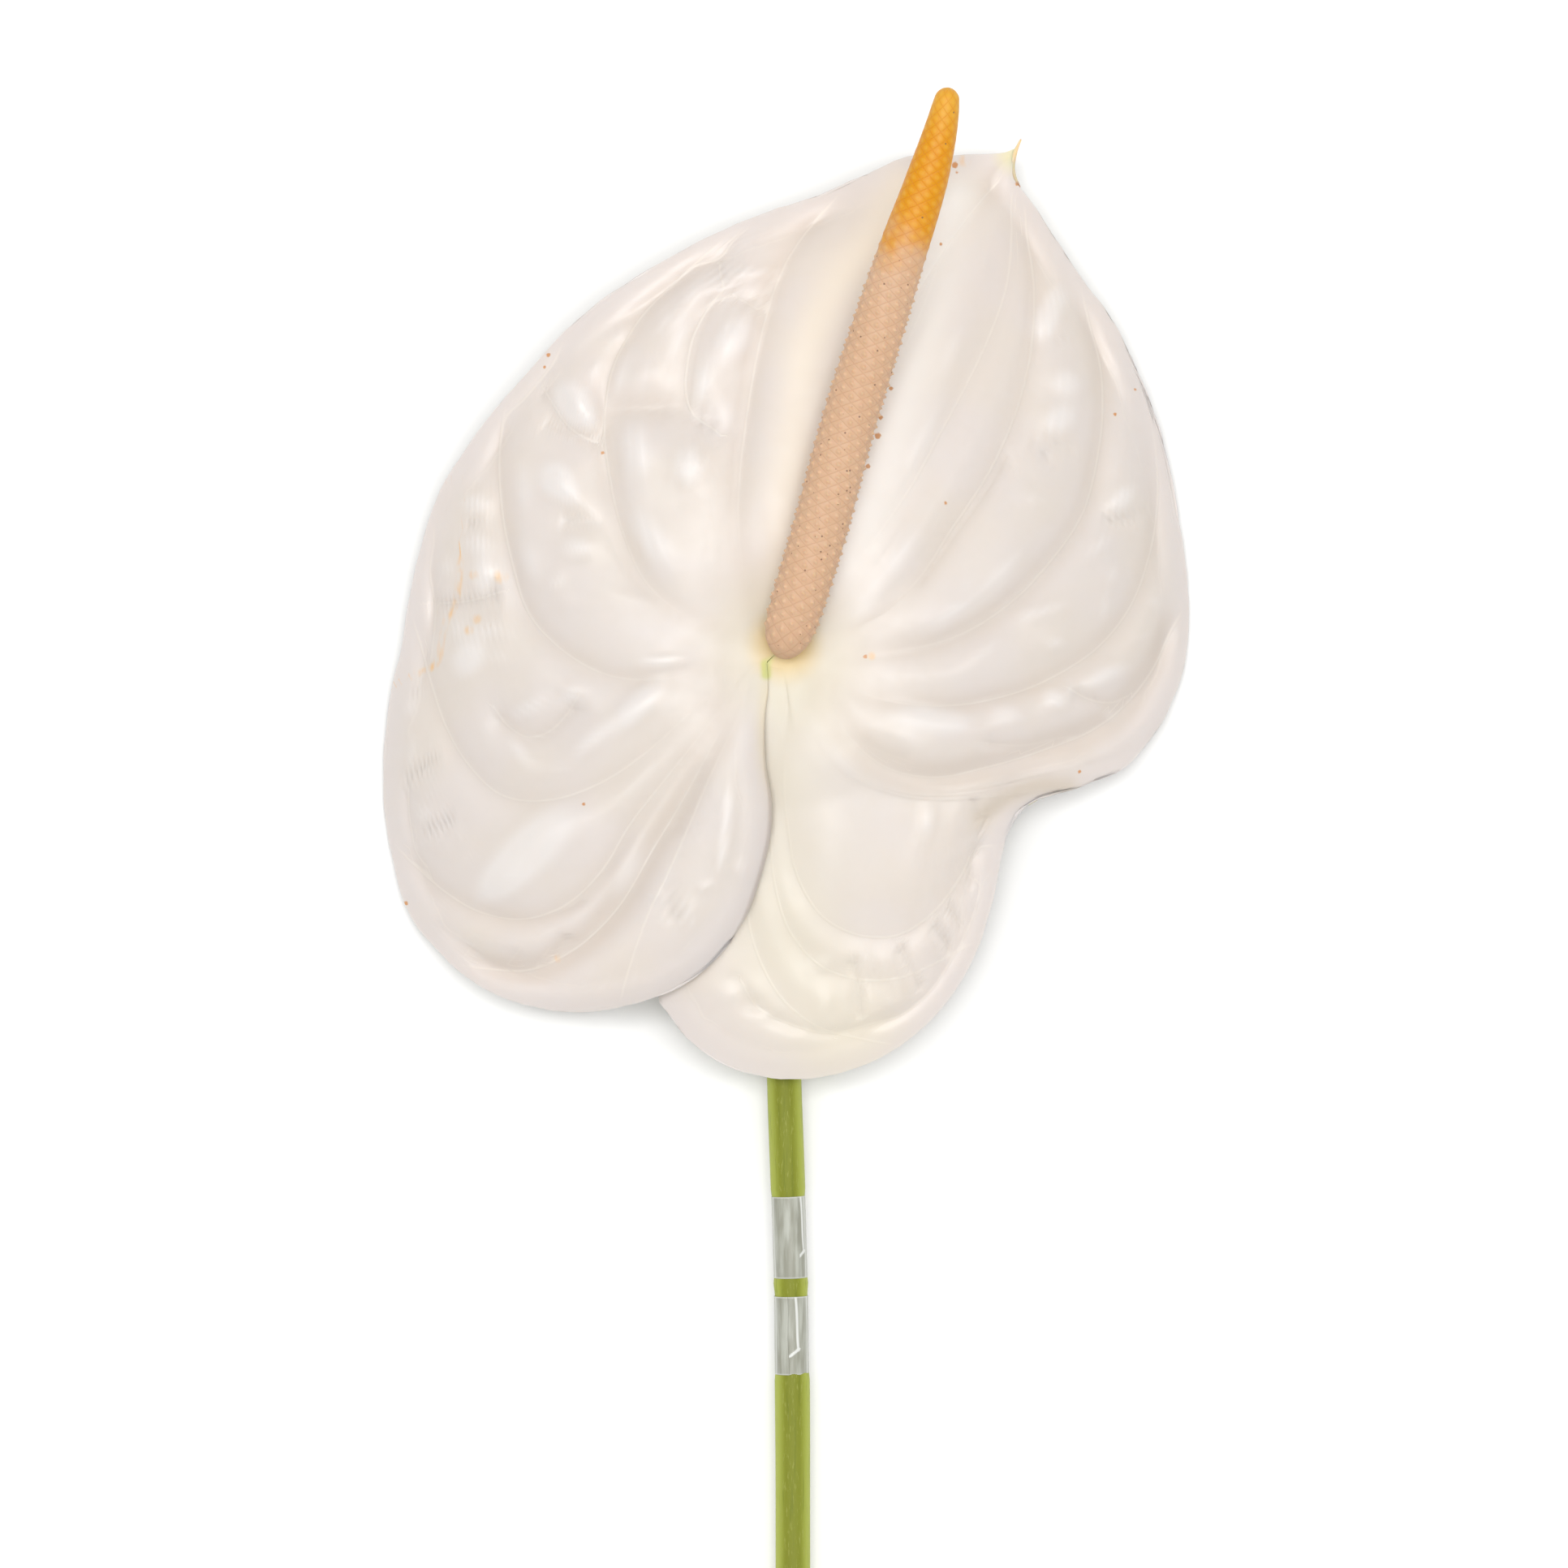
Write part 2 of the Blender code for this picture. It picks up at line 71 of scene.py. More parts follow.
def smooth_line(points, steps=10):
    """A smooth curve through the points, with its tangents weighted by the gaps beside them."""
    p = np.array(points, float)
    gaps = np.linalg.norm(np.diff(p, axis=0), axis=1)[:, None]
    slopes = np.diff(p, axis=0) / gaps
    inner = (gaps[1:] * slopes[:-1] + gaps[:-1] * slopes[1:]) / (gaps[1:] + gaps[:-1])
    tangents = np.vstack([slopes[:1], inner, slopes[-1:]])
    pieces = []
    for step in range(steps):
        t = step / steps
        pieces.append(
            (2 * t**3 - 3 * t**2 + 1) * p[:-1] + (t**3 - 2 * t**2 + t) * gaps * tangents[:-1]
            + (3 * t**2 - 2 * t**3) * p[1:] + (t**3 - t**2) * gaps * tangents[1:]
        )
    return np.vstack([np.stack(pieces, axis=1).reshape(-1, p.shape[1]), p[-1:]])


def lengths(line):
    """How far along the line each of its points lies."""
    return np.concatenate([[0.0], np.cumsum(np.linalg.norm(np.diff(line, axis=0), axis=1))])


def read_line(line, places):
    """The points that lie at these lengths along the line."""
    along = lengths(line)
    return np.column_stack([np.interp(places, along, axis) for axis in line.T])


def ramp(value, low, high):
    """0 below low, 1 above high, and an even S between them."""
    t = np.clip((value - low) / (high - low), 0.0, 1.0)
    return t * t * (3 - 2 * t)


def swept(line, places, radii, angles, slant=0.0):
    """Rings of points round a line at places along it, with a radius for each angle and place."""
    line = smooth_line(line)
    centres = read_line(line, places)
    ahead = read_line(line, places + 0.4) - read_line(line, places - 0.4)
    ahead /= np.linalg.norm(ahead, axis=1)[:, None]
    across = np.array([1.0, 0.0, 0.0]) - ahead * ahead[:, :1]
    across /= np.linalg.norm(across, axis=1)[:, None]
    upward = np.cross(across, ahead)
    points = centres + radii[..., None] * (
        np.cos(angles)[..., None] * across + np.sin(angles)[..., None] * upward
    )
    at_cut = places == places[-1]
    points[:, at_cut] += slant * (points[:, at_cut] - centres[-1])[..., 2:] * ahead[-1]
    return points


def place_grid(bm, points, uv=None, marks=()):
    """A grid of vertices moved to an array of points in millimetres about the neck.

    The array has a column of points for each step along the grid's x. Marks are named arrays of
    one number for each point, and uv is an array of two.
    """
    layers = {name: bm.verts.layers.float.new(name) for name in marks}
    column_layer = bm.verts.layers.int.new("column")
    row_layer = bm.verts.layers.int.new("row")
    uv_layer = bm.loops.layers.uv.new("UVMap")
    columns, rows = points.shape[0] - 1, points.shape[1] - 1
    made = bmesh.ops.create_grid(bm, x_segments=columns, y_segments=rows, size=1.0)
    neck = np.array([*NECK_PLACE, 0.0])
    for vertex in made["verts"]:
        column = round((vertex.co.x + 1) / 2 * columns)
        row = round((vertex.co.y + 1) / 2 * rows)
        vertex[column_layer] = column
        vertex[row_layer] = row
        vertex.co = (points[column, row] + neck) * MM
        for name, layer in layers.items():
            vertex[layer] = marks[name][column, row]
    if uv is not None:
        for face in bm.faces:
            for loop in face.loops:
                loop[uv_layer].uv = uv[loop.vert[column_layer], loop.vert[row_layer]]


def make_piece(name, bm, *materials):
    """The finished bmesh as a smooth shaded object in the scene."""
    mesh = bpy.data.meshes.new(name)
    bm.to_mesh(mesh)
    bm.free()
    mesh.shade_smooth()
    for material in materials:
        mesh.materials.append(material)
    piece = bpy.data.objects.new(name, mesh)
    bpy.context.scene.collection.objects.link(piece)
    return piece


def close_tube(bm):
    """Merge the seam and the poles of a swept grid, and turn its faces outwards."""
    bmesh.ops.remove_doubles(bm, verts=bm.verts, dist=0.001 * MM)
    bmesh.ops.recalc_face_normals(bm, faces=bm.faces)


def new_material(name, **constants):
    """A material with a Principled shader, whose named constants are set on its own sockets."""
    material = bpy.data.materials.new(name)
    material.use_nodes = True
    shader = material.node_tree.nodes["Principled BSDF"]
    for socket, value in constants.items():
        shader.inputs[socket.replace("_", " ")].default_value = value
    return material


def add(material, kind, inputs=(), **settings):
    """A node of the material; each input is a number, a colour or another node's output."""
    node = material.node_tree.nodes.new("ShaderNode" + kind)
    for name, value in settings.items():
        setattr(node, name, value)
    for name, value in dict(inputs).items():
        socket = node.inputs[name]
        if isinstance(value, bpy.types.NodeSocket):
            material.node_tree.links.new(value, socket)
        elif isinstance(value, tuple) and len(value) == 3 and socket.type == "RGBA":
            socket.default_value = (*value, 1.0)
        else:
            socket.default_value = value
    return node


def reckon(material, operation, *values, clamp=False):
    """The output of one Math node."""
    return add(material, "Math", enumerate(values), operation=operation, use_clamp=clamp).outputs[0]


def times(material, one, other):
    """The product of two values."""
    return reckon(material, "MULTIPLY", one, other)


def span(material, value, low, high, to_low=0.0, to_high=1.0):
    """The value eased from low and high to two other values."""
    inputs = {"Value": value, "From Min": low, "From Max": high, "To Min": to_low, "To Max": to_high}
    return add(material, "MapRange", inputs, interpolation_type="SMOOTHSTEP").outputs[0]


def tint(material, share, under, over, blend="MIX"):
    """One colour over another; the share of the upper one is a number or a socket."""
    node = add(material, "Mix", data_type="RGBA", blend_type=blend)
    for socket, value in zip((node.inputs[0], node.inputs[6], node.inputs[7]), (share, under, over)):
        if isinstance(value, bpy.types.NodeSocket):
            material.node_tree.links.new(value, socket)
        else:
            socket.default_value = (*value, 1.0) if isinstance(value, tuple) else value
    return node.outputs[2]


def grain(material, size, detail=2.0, stretch=(1, 1, 1), roughness=0.5):
    """Noise on the piece's own place, with blots of this size in millimetres."""
    place = add(material, "TexCoord").outputs["Object"]
    scaled = add(material, "Mapping", {"Vector": place, "Scale": stretch}).outputs[0]
    inputs = {"Vector": scaled, "Scale": 1 / (size * MM), "Detail": detail, "Roughness": roughness}
    return add(material, "TexNoise", inputs).outputs[0]


def mark(material, name):
    """The value of one of the piece's own marks."""
    return add(material, "Attribute", attribute_name=name).outputs["Fac"]


def paint(material, colour=None, bumps=(), **linked):
    """Link the colour and other inputs to the shader, and stack the bumps: (height, size in mm)."""
    shader = material.node_tree.nodes["Principled BSDF"]
    if colour is not None:
        material.node_tree.links.new(colour, shader.inputs["Base Color"])
    for socket, value in linked.items():
        material.node_tree.links.new(value, shader.inputs[socket.replace("_", " ")])
    normal = None
    for height, size in bumps:
        inputs = {"Height": height, "Distance": size * MM, "Strength": 1.0}
        if normal is not None:
            inputs["Normal"] = normal
        normal = add(material, "Bump", inputs).outputs[0]
    if normal is not None:
        material.node_tree.links.new(normal, shader.inputs["Normal"])


def stem_material():
    """Green skin with pale fibres along it, painted sheen on its flanks, and a paler cut end."""
    skin = new_material(
        "stem_skin", Roughness=0.5, Specular_IOR_Level=0.2, Subsurface_Weight=0.15,
        Subsurface_Scale=0.002,
    )
    skin.node_tree.nodes["Principled BSDF"].inputs["Subsurface Radius"].default_value = (0.8, 1.0, 0.3)
    green = tint(skin, grain(skin, 9.0, stretch=(1, 0.3, 1)), STEM_GREEN, STEM_EDGE_GREEN)
    # Painted sheen: the stem's left and right flanks are painted lighter
    green = tint(skin, span(skin, mark(skin, "side"), 0.35, 0.95), green, STEM_FLANK_SHEEN)
    fibres = grain(skin, 0.3, detail=3.0, stretch=(1, 0.16, 1))
    flecks = span(skin, fibres, 0.56, 0.7)
    green = tint(skin, times(skin, flecks, 0.55), green, FIBRE_PALE)
    dark = span(skin, grain(skin, 0.5, detail=2.0, stretch=(1, 0.04, 1)), 0.42, 0.3)
    green = tint(skin, times(skin, dark, 0.35), green, FIBRE_DARK)
    cut = mark(skin, "cut")
    dots = add(skin, "TexVoronoi", {"Scale": 1 / (0.75 * MM)}).outputs["Distance"]
    pith = tint(skin, span(skin, dots, 0.22, 0.1), PITH_PALE, PITH_DOT)
    pith = tint(skin, span(skin, grain(skin, 1.4), 0.5, 0.8, 0.0, 0.4), pith, PITH_TAN)
    green = tint(skin, span(skin, cut, 0.05, 0.25), green, pith)
    paint(skin, green, [(fibres, 0.05), (grain(skin, 2.5, stretch=(1, 0.15, 1)), 0.08)])
    return skin


def line_place(down):
    """The length along the stem at which it has come this far down from the neck."""
    line = smooth_line(STEM_LINE)
    return np.interp(-down, -line[:, 1], lengths(line))


def build_stem():
    """The stalk's rings from the neck down, thinner under the tape, and its slanting cut end."""
    line = smooth_line(STEM_LINE)
    total = lengths(line)[-1]
    along = np.linspace(0.0, 1.0, STEM_RINGS) ** 1.25 * total
    places = np.concatenate([[0.0], along, np.full(len(CUT_RINGS), total)])
    share = np.concatenate([[0.0], np.ones(STEM_RINGS), CUT_RINGS])
    angles = np.linspace(0.0, 2 * math.pi, STEM_SIDES + 1)[:, None] + np.zeros(len(places))
    ribs = np.sin(angles * 9 + places / 60) * 0.5 + np.sin(angles * 5 - places / 45) * 0.5
    waves = np.sin(places / 17) * 0.6 + np.sin(places / 6.5) * 0.4
    radius = (STEM_RADIUS + STEM_UNEVEN * (0.35 * ribs + waves)) * share
    for top, bottom in TAPE_SPANS.values():
        under = ramp(line_place(bottom) + 0.6 - places, 0.0, 0.5)
        under *= ramp(places - line_place(top) + 0.6, 0.0, 0.5)
        radius -= TAPE_WAIST * under * share
    points = swept(STEM_LINE, places, radius, angles, slant=CUT_SLANT)
    cut = np.zeros_like(radius)
    cut[:, -len(CUT_RINGS):] = 1.0 - np.array(CUT_RINGS)
    points[:, -len(CUT_RINGS):, 1] += CUT_HOLLOW * (cut[:, -len(CUT_RINGS):] > 0.1)
    bm = bmesh.new()
    place_grid(bm, points, marks={"cut": cut, "side": np.abs(np.cos(angles))})
    close_tube(bm)
    return make_piece("stem_stalk", bm, stem_material())


stalk = build_stem()
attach(stalk, "root")
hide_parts("stem")

# Tape bands. Two strips of clear glossy film, each wound a little more than once round the stem,
# so that the end shows as a raised edge along it, with small creases where the film was pulled.
TAPE_RADIUS = 2.95
TAPE_TURNS = 1.22
TAPE_STEPS = 88
TAPE_RISE = 0.09
FILM_THICKNESS = 0.07
CREASE_HEIGHT = 0.04
TAPE_START = {"tape_upper": 0.62, "tape_lower": 0.5}
CREASE_PLACE = {"tape_upper": 0.211, "tape_lower": 0.24}
FILM_COLOUR = (0.29, 0.29, 0.235)
FILM_STREAK_AND_FLANK_SHEEN = (0.45, 0.46, 0.40)
FILM_GLINT = (0.78, 0.79, 0.76)
FILM_END_PALE = (0.62, 0.63, 0.58)
SORT_LINE = Vector((1.0, 31.7, 7.3))


def film_material():
    """Milky clear film over the green stem, with streaks along it, painted sheen on its flanks and painted
    glints along them and on the creases.
    """
    film = new_material(
        "tape_film", Roughness=0.38, Coat_Weight=0.2, Coat_Roughness=0.12, Specular_IOR_Level=0.3,
    )
    streaks = grain(film, 1.1, detail=3.0, stretch=(1, 0.12, 1))
    colour = tint(film, span(film, streaks, 0.35, 0.7), FILM_COLOUR, FILM_STREAK_AND_FLANK_SHEEN)
    side = mark(film, "side")
    # Painted sheen on the film's flanks, and painted glint lines along them and on the pulled creases
    colour = tint(film, span(film, side, 0.75, 1.0), colour, FILM_STREAK_AND_FLANK_SHEEN)
    lines = times(film, span(film, side, 0.86, 0.89), span(film, side, 0.93, 0.9))
    colour = tint(film, times(film, lines, 0.6), colour, FILM_GLINT)
    colour = tint(film, span(film, mark(film, "crease"), 0.2, 0.8, 0.0, 0.8), colour, FILM_GLINT)
    ends = span(film, mark(film, "from_end"), 0.3, 0.1)
    colour = tint(film, times(film, ends, 0.7), colour, FILM_END_PALE)
    paint(film, colour, [(streaks, 0.02)])
    return film


def build_tape(band, film):
    """One strip wound round the stem, with its ripples, creases and raised free end."""
    top, bottom = TAPE_SPANS[band]
    places = np.linspace(line_place(top), line_place(bottom), 60)
    turns = np.linspace(0.0, TAPE_TURNS, TAPE_STEPS + 1)[:, None] + TAPE_START[band]
    wound = (turns - TAPE_START[band]) / TAPE_TURNS
    along = (places - places[0]) / (places[-1] - places[0])
    angles = 2 * math.pi * turns + 0.02 * np.sin(along * 9)[None, :]
    crease = np.exp(-(((wound - 0.75 - 0.06 * along) * 60) ** 2)) * np.sin(along * math.pi) ** 0.5
    crease += np.exp(-(((wound - 0.86 + 0.03 * along) * 75) ** 2)) * ramp(along, 0.1, 0.4)
    ripple = 0.3 * np.sin(angles * 3 + along * 7)
    radius = TAPE_RADIUS + TAPE_RISE * ramp(wound, 0.7, 1.0) + CREASE_HEIGHT * (crease + ripple)
    pulled = np.exp(-(((wound - CREASE_PLACE[band] - 0.025 * along) / 0.011) ** 2))
    pulled *= ramp(along, 0.72, 0.62)
    hook = wound - CREASE_PLACE[band] - 0.02 + 0.8 * (along - 0.67)
    pulled += np.exp(-((hook / 0.02) ** 2)) * ramp(along, 0.64, 0.68) * ramp(along, 0.8, 0.76)
    radius += 0.5 * CREASE_HEIGHT * pulled
    bm = bmesh.new()
    from_end = np.minimum(places - places[0], places[-1] - places)[None, :] + 0 * angles
    points = swept(STEM_LINE, places, radius, angles)
    place_grid(bm, points, marks={"side": np.abs(np.cos(angles)), "from_end": from_end, "crease": pulled})
    bmesh.ops.solidify(bm, geom=list(bm.faces), thickness=FILM_THICKNESS * MM)
    bmesh.ops.recalc_face_normals(bm, faces=bm.faces)
    # The rim's faces come in another order each time, so all are sorted along one slanting line
    bm.faces.sort(key=lambda face: face.calc_center_median().dot(SORT_LINE))
    return make_piece("film_" + band, bm, film)


film = film_material()
for band in TAPE_SPANS:
    sleeve = build_tape(band, film)
    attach(sleeve, "root")
    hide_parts(band)

# Spathe. One waxy white blade, heart shaped, thin and stiff. It arches between sunken veins, its
# left lobe lies over the right one, its margin rolls back, and its tip ends in a curled cusp.
BLADE_THICKNESS = 0.62
NECK_HEIGHT = 23.0
NECK_RING = 3.2
NECK_DISH = 14.0
DOME_HEIGHT = 25.5
DOME_MIDDLE = 0.6
DOME_HALF_WIDTH = 70.0
DOME_CURVE = 2.2
DOME_SIDE_DROP = 22.9
DOME_LENGTH = 90.0
DOME_END_DROP = 9.0
LOBE_LIFT = 1.3
LOBE_DROP = 3.6
ROLL_WIDTH = 5.0
ROLL_DROP = 1.0
QUILT_RISE = 1.35
VEIN_DEPTH = 2.0
VEIN_WIDTH = 3.4
SWELL_HEIGHT = 0.3
SWELL_SIZE = 10.0
PILLOW_RISE = 0.33
LEAN = 0.3
RIM_FURROW = 0.15
RIM_BAND = 4.8
RIM_FURROW_WIDTH = 1.3
LOBE_EASE = 24.0
LOBE_TUCK = 1.5
TUCK_WIDTH = 4.0
PLEAT_DROP = 0.7
PLEAT_WIDTH = 3.6
COLUMNS = 300
TIP_COLUMNS = 14
TIP_CROWDING = 1.6
EVEN_LENGTH = 57.0
# How far from neck to margin the rows lie, closer together at both ends
ROW_PLACES = (0.0, 0.06, 0.13, 0.21, 0.3, 0.39, 0.48, 0.57, 0.66, 0.74, 0.81, 0.87, 0.92, 0.96, 0.985, 1.0)
ROWS = 145
# Which of the veins below are the midrib and the crease of the pleat
MIDRIB = 8
PLEAT = 16
# The blade's margin, from the left lobe round by the tip to where the right lobe goes under it
MARGIN = (
    (-8.8, -50.3), (-12.6, -54.6), (-16.9, -57.7), (-22, -60.1), (-28.1, -61.7), (-36.1, -62.7),
    (-43.1, -61.7), (-49.1, -59.8), (-54.6, -56.7), (-59.6, -52.2), (-63.1, -48.3), (-65.7, -43.4),
    (-67.5, -36.7), (-68.9, -29.4), (-69.3, -22.1), (-68.7, -12.9), (-67.5, -5.6), (-66.1, 0.1),
    (-64.7, 8.4), (-63.3, 15.1), (-61.2, 22.4), (-58.9, 28.3), (-55.3, 33.9), (-50.7, 40.2), (-43.8, 48),
    (-36.5, 55.9), (-29.7, 61.3), (-23.4, 65.2), (-13, 71), (-2.4, 75.5), (7.4, 78.8), (15.1, 82.3),
    (22.7, 85.5), (27.8, 85.4), (33, 85.9), (37, 86.1), (39, 86.4), (40.5, 86.9), (40.5, 85.8), (40.1, 84),
    (40.3, 81.8), (41.3, 80.4), (43.5, 77.7), (48.4, 70.4), (52.4, 64.3), (56.8, 58.8), (61.3, 50.3),
    (66.2, 37.9), (69.3, 23.2), (71, 10.4), (71, 3.1), (69.9, -4.1), (68.2, -8.4), (65.8, -13.3),
    (62.4, -17.6), (59.2, -20.7), (54.6, -22.5), (50.4, -24.2), (46.8, -24.6), (43.4, -26), (40.6, -28.4),
    (39.2, -31.4), (38.1, -35.7), (37, -41.7), (35.6, -47), (33.5, -52.9), (30.2, -58.8), (25.9, -64.1),
    (20.6, -68.5), (14.7, -71.7), (8.8, -73.5), (2.4, -74.3), (-2.4, -73.9), (-7.8, -72.5), (-12.6, -70),
    (-16.4, -66.9), (-19, -63.6), (-21, -60.8),
)
# The veins that the blade is built on: the angle at which each leaves the neck, the depth of its
# furrow, and its points from there out to the margin
VEINS = (
    # left lobe's inner margin
    (222, 0, (
        (-2.2, -6.7), (-2.8, -11.2), (-2.7, -20.3), (-1.8, -25.9), (-1.8, -30.4), (-2.7, -35.7),
        (-4.1, -40.6), (-5.9, -45.4), (-8.8, -50.3),
    )),
    (213, 0.2, (
        (-5, -4.9), (-7.3, -11.3), (-11.8, -21.3), (-15.7, -30.5), (-19.3, -38.5), (-22.7, -45.5),
        (-25.3, -52.5), (-28.1, -61.7),
    )),
    (205, 1.3, (
        (-5.7, -4.2), (-10.4, -14), (-16.4, -25.2), (-22.3, -35), (-28.8, -45.5), (-36.1, -52.1),
        (-43.3, -55.3), (-50.7, -55.4), (-57.4, -54.3),
    )),
    (196, 0.8, (
        (-6.7, -4.5), (-10.9, -10.9), (-19.3, -21.7), (-25.9, -30.1), (-31.1, -38.5), (-37.2, -44.1),
        (-45.1, -46.6), (-52.8, -45.1), (-57.7, -42.3), (-61.9, -38.9), (-65.4, -35.7), (-68.3, -32.6),
    )),
    (186, 0.7, (
        (-6.6, -2.5), (-13.3, -8.7), (-22.3, -17.1), (-31.2, -23.1), (-39.6, -25.9), (-48, -25.2),
        (-54.3, -19.5), (-57.7, -13.9), (-60.1, -7.3), (-62.2, 0), (-64.7, 8.1),
    )),
    (175, 0.8, (
        (-5.9, -0.8), (-13.3, -3.6), (-21.3, -5.3), (-29.5, -4.5), (-37.2, -0.4), (-43.3, 6),
        (-46.2, 14.6), (-47.9, 22.4), (-48.6, 30.1), (-48.4, 37.1), (-47.2, 44.2),
    )),
    (155, 0.9, (
        (-5.2, 1.4), (-11.5, 3.9), (-17.1, 6.2), (-23.4, 11.9), (-26.9, 19.6), (-29.4, 29.4),
        (-30.4, 39.2), (-28.7, 49), (-24.5, 56.7), (-17.8, 63.7), (-6.6, 73.8),
    )),
    (122, 0.9, (
        (-3.4, 5), (-6.2, 12.3), (-7.3, 21.8), (-7.1, 29.4), (-6.2, 37.5), (-4.8, 46.9), (-2.5, 57.4),
        (0.8, 66.5), (5.3, 73.1), (12.3, 81.1),
    )),
    # midrib, to the curled tip
    (78, 1, (
        (1.4, 7.7), (4.6, 18.9), (9.2, 32.2), (14, 43.4), (19.3, 54.6), (24.6, 63.7), (30.2, 72.1),
        (35.3, 78.7), (38.4, 82.3), (39.6, 85), (40.5, 86.9),
    )),
    (52, 0.5, (
        (3.9, 4.9), (10.2, 11.2), (17.2, 20.3), (22.8, 28.7), (27.7, 37.8), (32.2, 46.2), (36.4, 55.3),
        (39.1, 63.7), (39.8, 71.4), (39.9, 77), (40.5, 81.8),
    )),
    (28, 0.8, (
        (5.3, 2.1), (11.6, 3.5), (17.9, 6.7), (23.5, 11.9), (29.1, 20.3), (34.7, 28.7), (39.6, 38.5),
        (42.4, 47.6), (43.7, 56), (43.7, 63.7), (42.8, 70.7), (42, 79.5),
    )),
    (8, 1, (
        (6.7, -0.4), (13.7, -0.8), (22.1, 0), (30.5, 2.4), (39.6, 8.1), (46.6, 15.4), (52.2, 23.8),
        (54.6, 32.2), (55.7, 40.6), (55.4, 49), (53.6, 56.7), (51.2, 66.1),
    )),
    (-10, 0.9, (
        (7, -3.1), (12.3, -6.7), (20.3, -9.2), (29.1, -9.7), (38.2, -8.1), (47.3, -4.5), (55, 0.7),
        (60.6, 7.7), (63.8, 16.1), (65.5, 25.2), (65.2, 35), (63, 46.2),
    )),
    (-26, 1.4, (
        (5.7, -4.5), (8.3, -9.5), (12, -15.4), (17.9, -20.2), (26, -22), (35.4, -20.3), (45.9, -17.1),
        (53.6, -14), (59.6, -9.5), (64.4, -3.5), (68, 3.5), (71, 9.1),
    )),
    (-38, 0, (
        (5, -5.7), (7.6, -11.5), (11.2, -16.9), (17.1, -21.6), (25.2, -23.5), (34.2, -22.7),
        (43.4, -20.4), (52.9, -18.2), (60.3, -15.1), (65.2, -11.2), (69, -6.4),
    )),
    # lip over the pleat
    (-50, 0, (
        (4.1, -6.6), (6.4, -13), (10.1, -18.3), (16, -22.7), (24.1, -24.8), (32.6, -24.4),
        (41.4, -22.4), (50.8, -20.7), (60.9, -19.2),
    )),
    # crease of the pleat
    (-62, 0, (
        (2.8, -7.3), (5, -14.3), (8.7, -19.9), (14.6, -23.8), (21.8, -26.2), (28.8, -26.9),
        (35, -26.6), (39.8, -26), (43.4, -26),
    )),
    (-74, 0, (
        (1.5, -7.8), (2.9, -15.1), (5.9, -22), (11.2, -27), (18.2, -30.2), (25.8, -31.2), (33.3, -30),
        (40.6, -28.4),
    )),
    (-86, 0.5, (
        (1.1, -7), (1.1, -14.7), (0.6, -22.4), (1.3, -30.8), (3.2, -39.9), (7.4, -46.2), (13.7, -49.3),
        (20, -49.3), (25.6, -45.9), (30.5, -39.9), (34, -34.3), (38.5, -33.6),
    )),
    (-97, 0.3, (
        (-0.1, -7.3), (-0.8, -14.7), (-1.7, -23.1), (-1.7, -31.5), (-1, -40.6), (1.8, -49),
        (7.4, -54.9), (14.4, -57), (21.4, -56.4), (27.7, -53.5), (34.4, -50.1),
    )),
    (-107, 0.3, (
        (-1.1, -7), (-2.4, -14.7), (-4.2, -24.5), (-5.6, -34.3), (-5.9, -44.1), (-3.8, -53.2),
        (0.8, -60.9), (7.4, -65.5), (13.7, -67.2), (20.6, -68.5),
    )),
    (-116, 0, (
        (-2, -6.9), (-3.5, -14.7), (-6.6, -25.2), (-9.8, -35.7), (-12, -44.8), (-12.5, -53.9),
        (-10.8, -61.6), (-6.6, -67.9), (0, -74.2),
    )),
    # right lobe's inner margin, under the left lobe
    (-136, 0, (
        (-2.9, -6.2), (-4.4, -13.3), (-7.6, -23.1), (-11.8, -34.3), (-16.4, -44.1), (-19.9, -51.8),
        (-21.1, -56.7), (-21, -60.8),
    )),
)

TIP = (41.0, 87.0)
CUSP_ROOT = (41.0, 86.5)
SPADIX_FOOT = (0.6, 0.5)
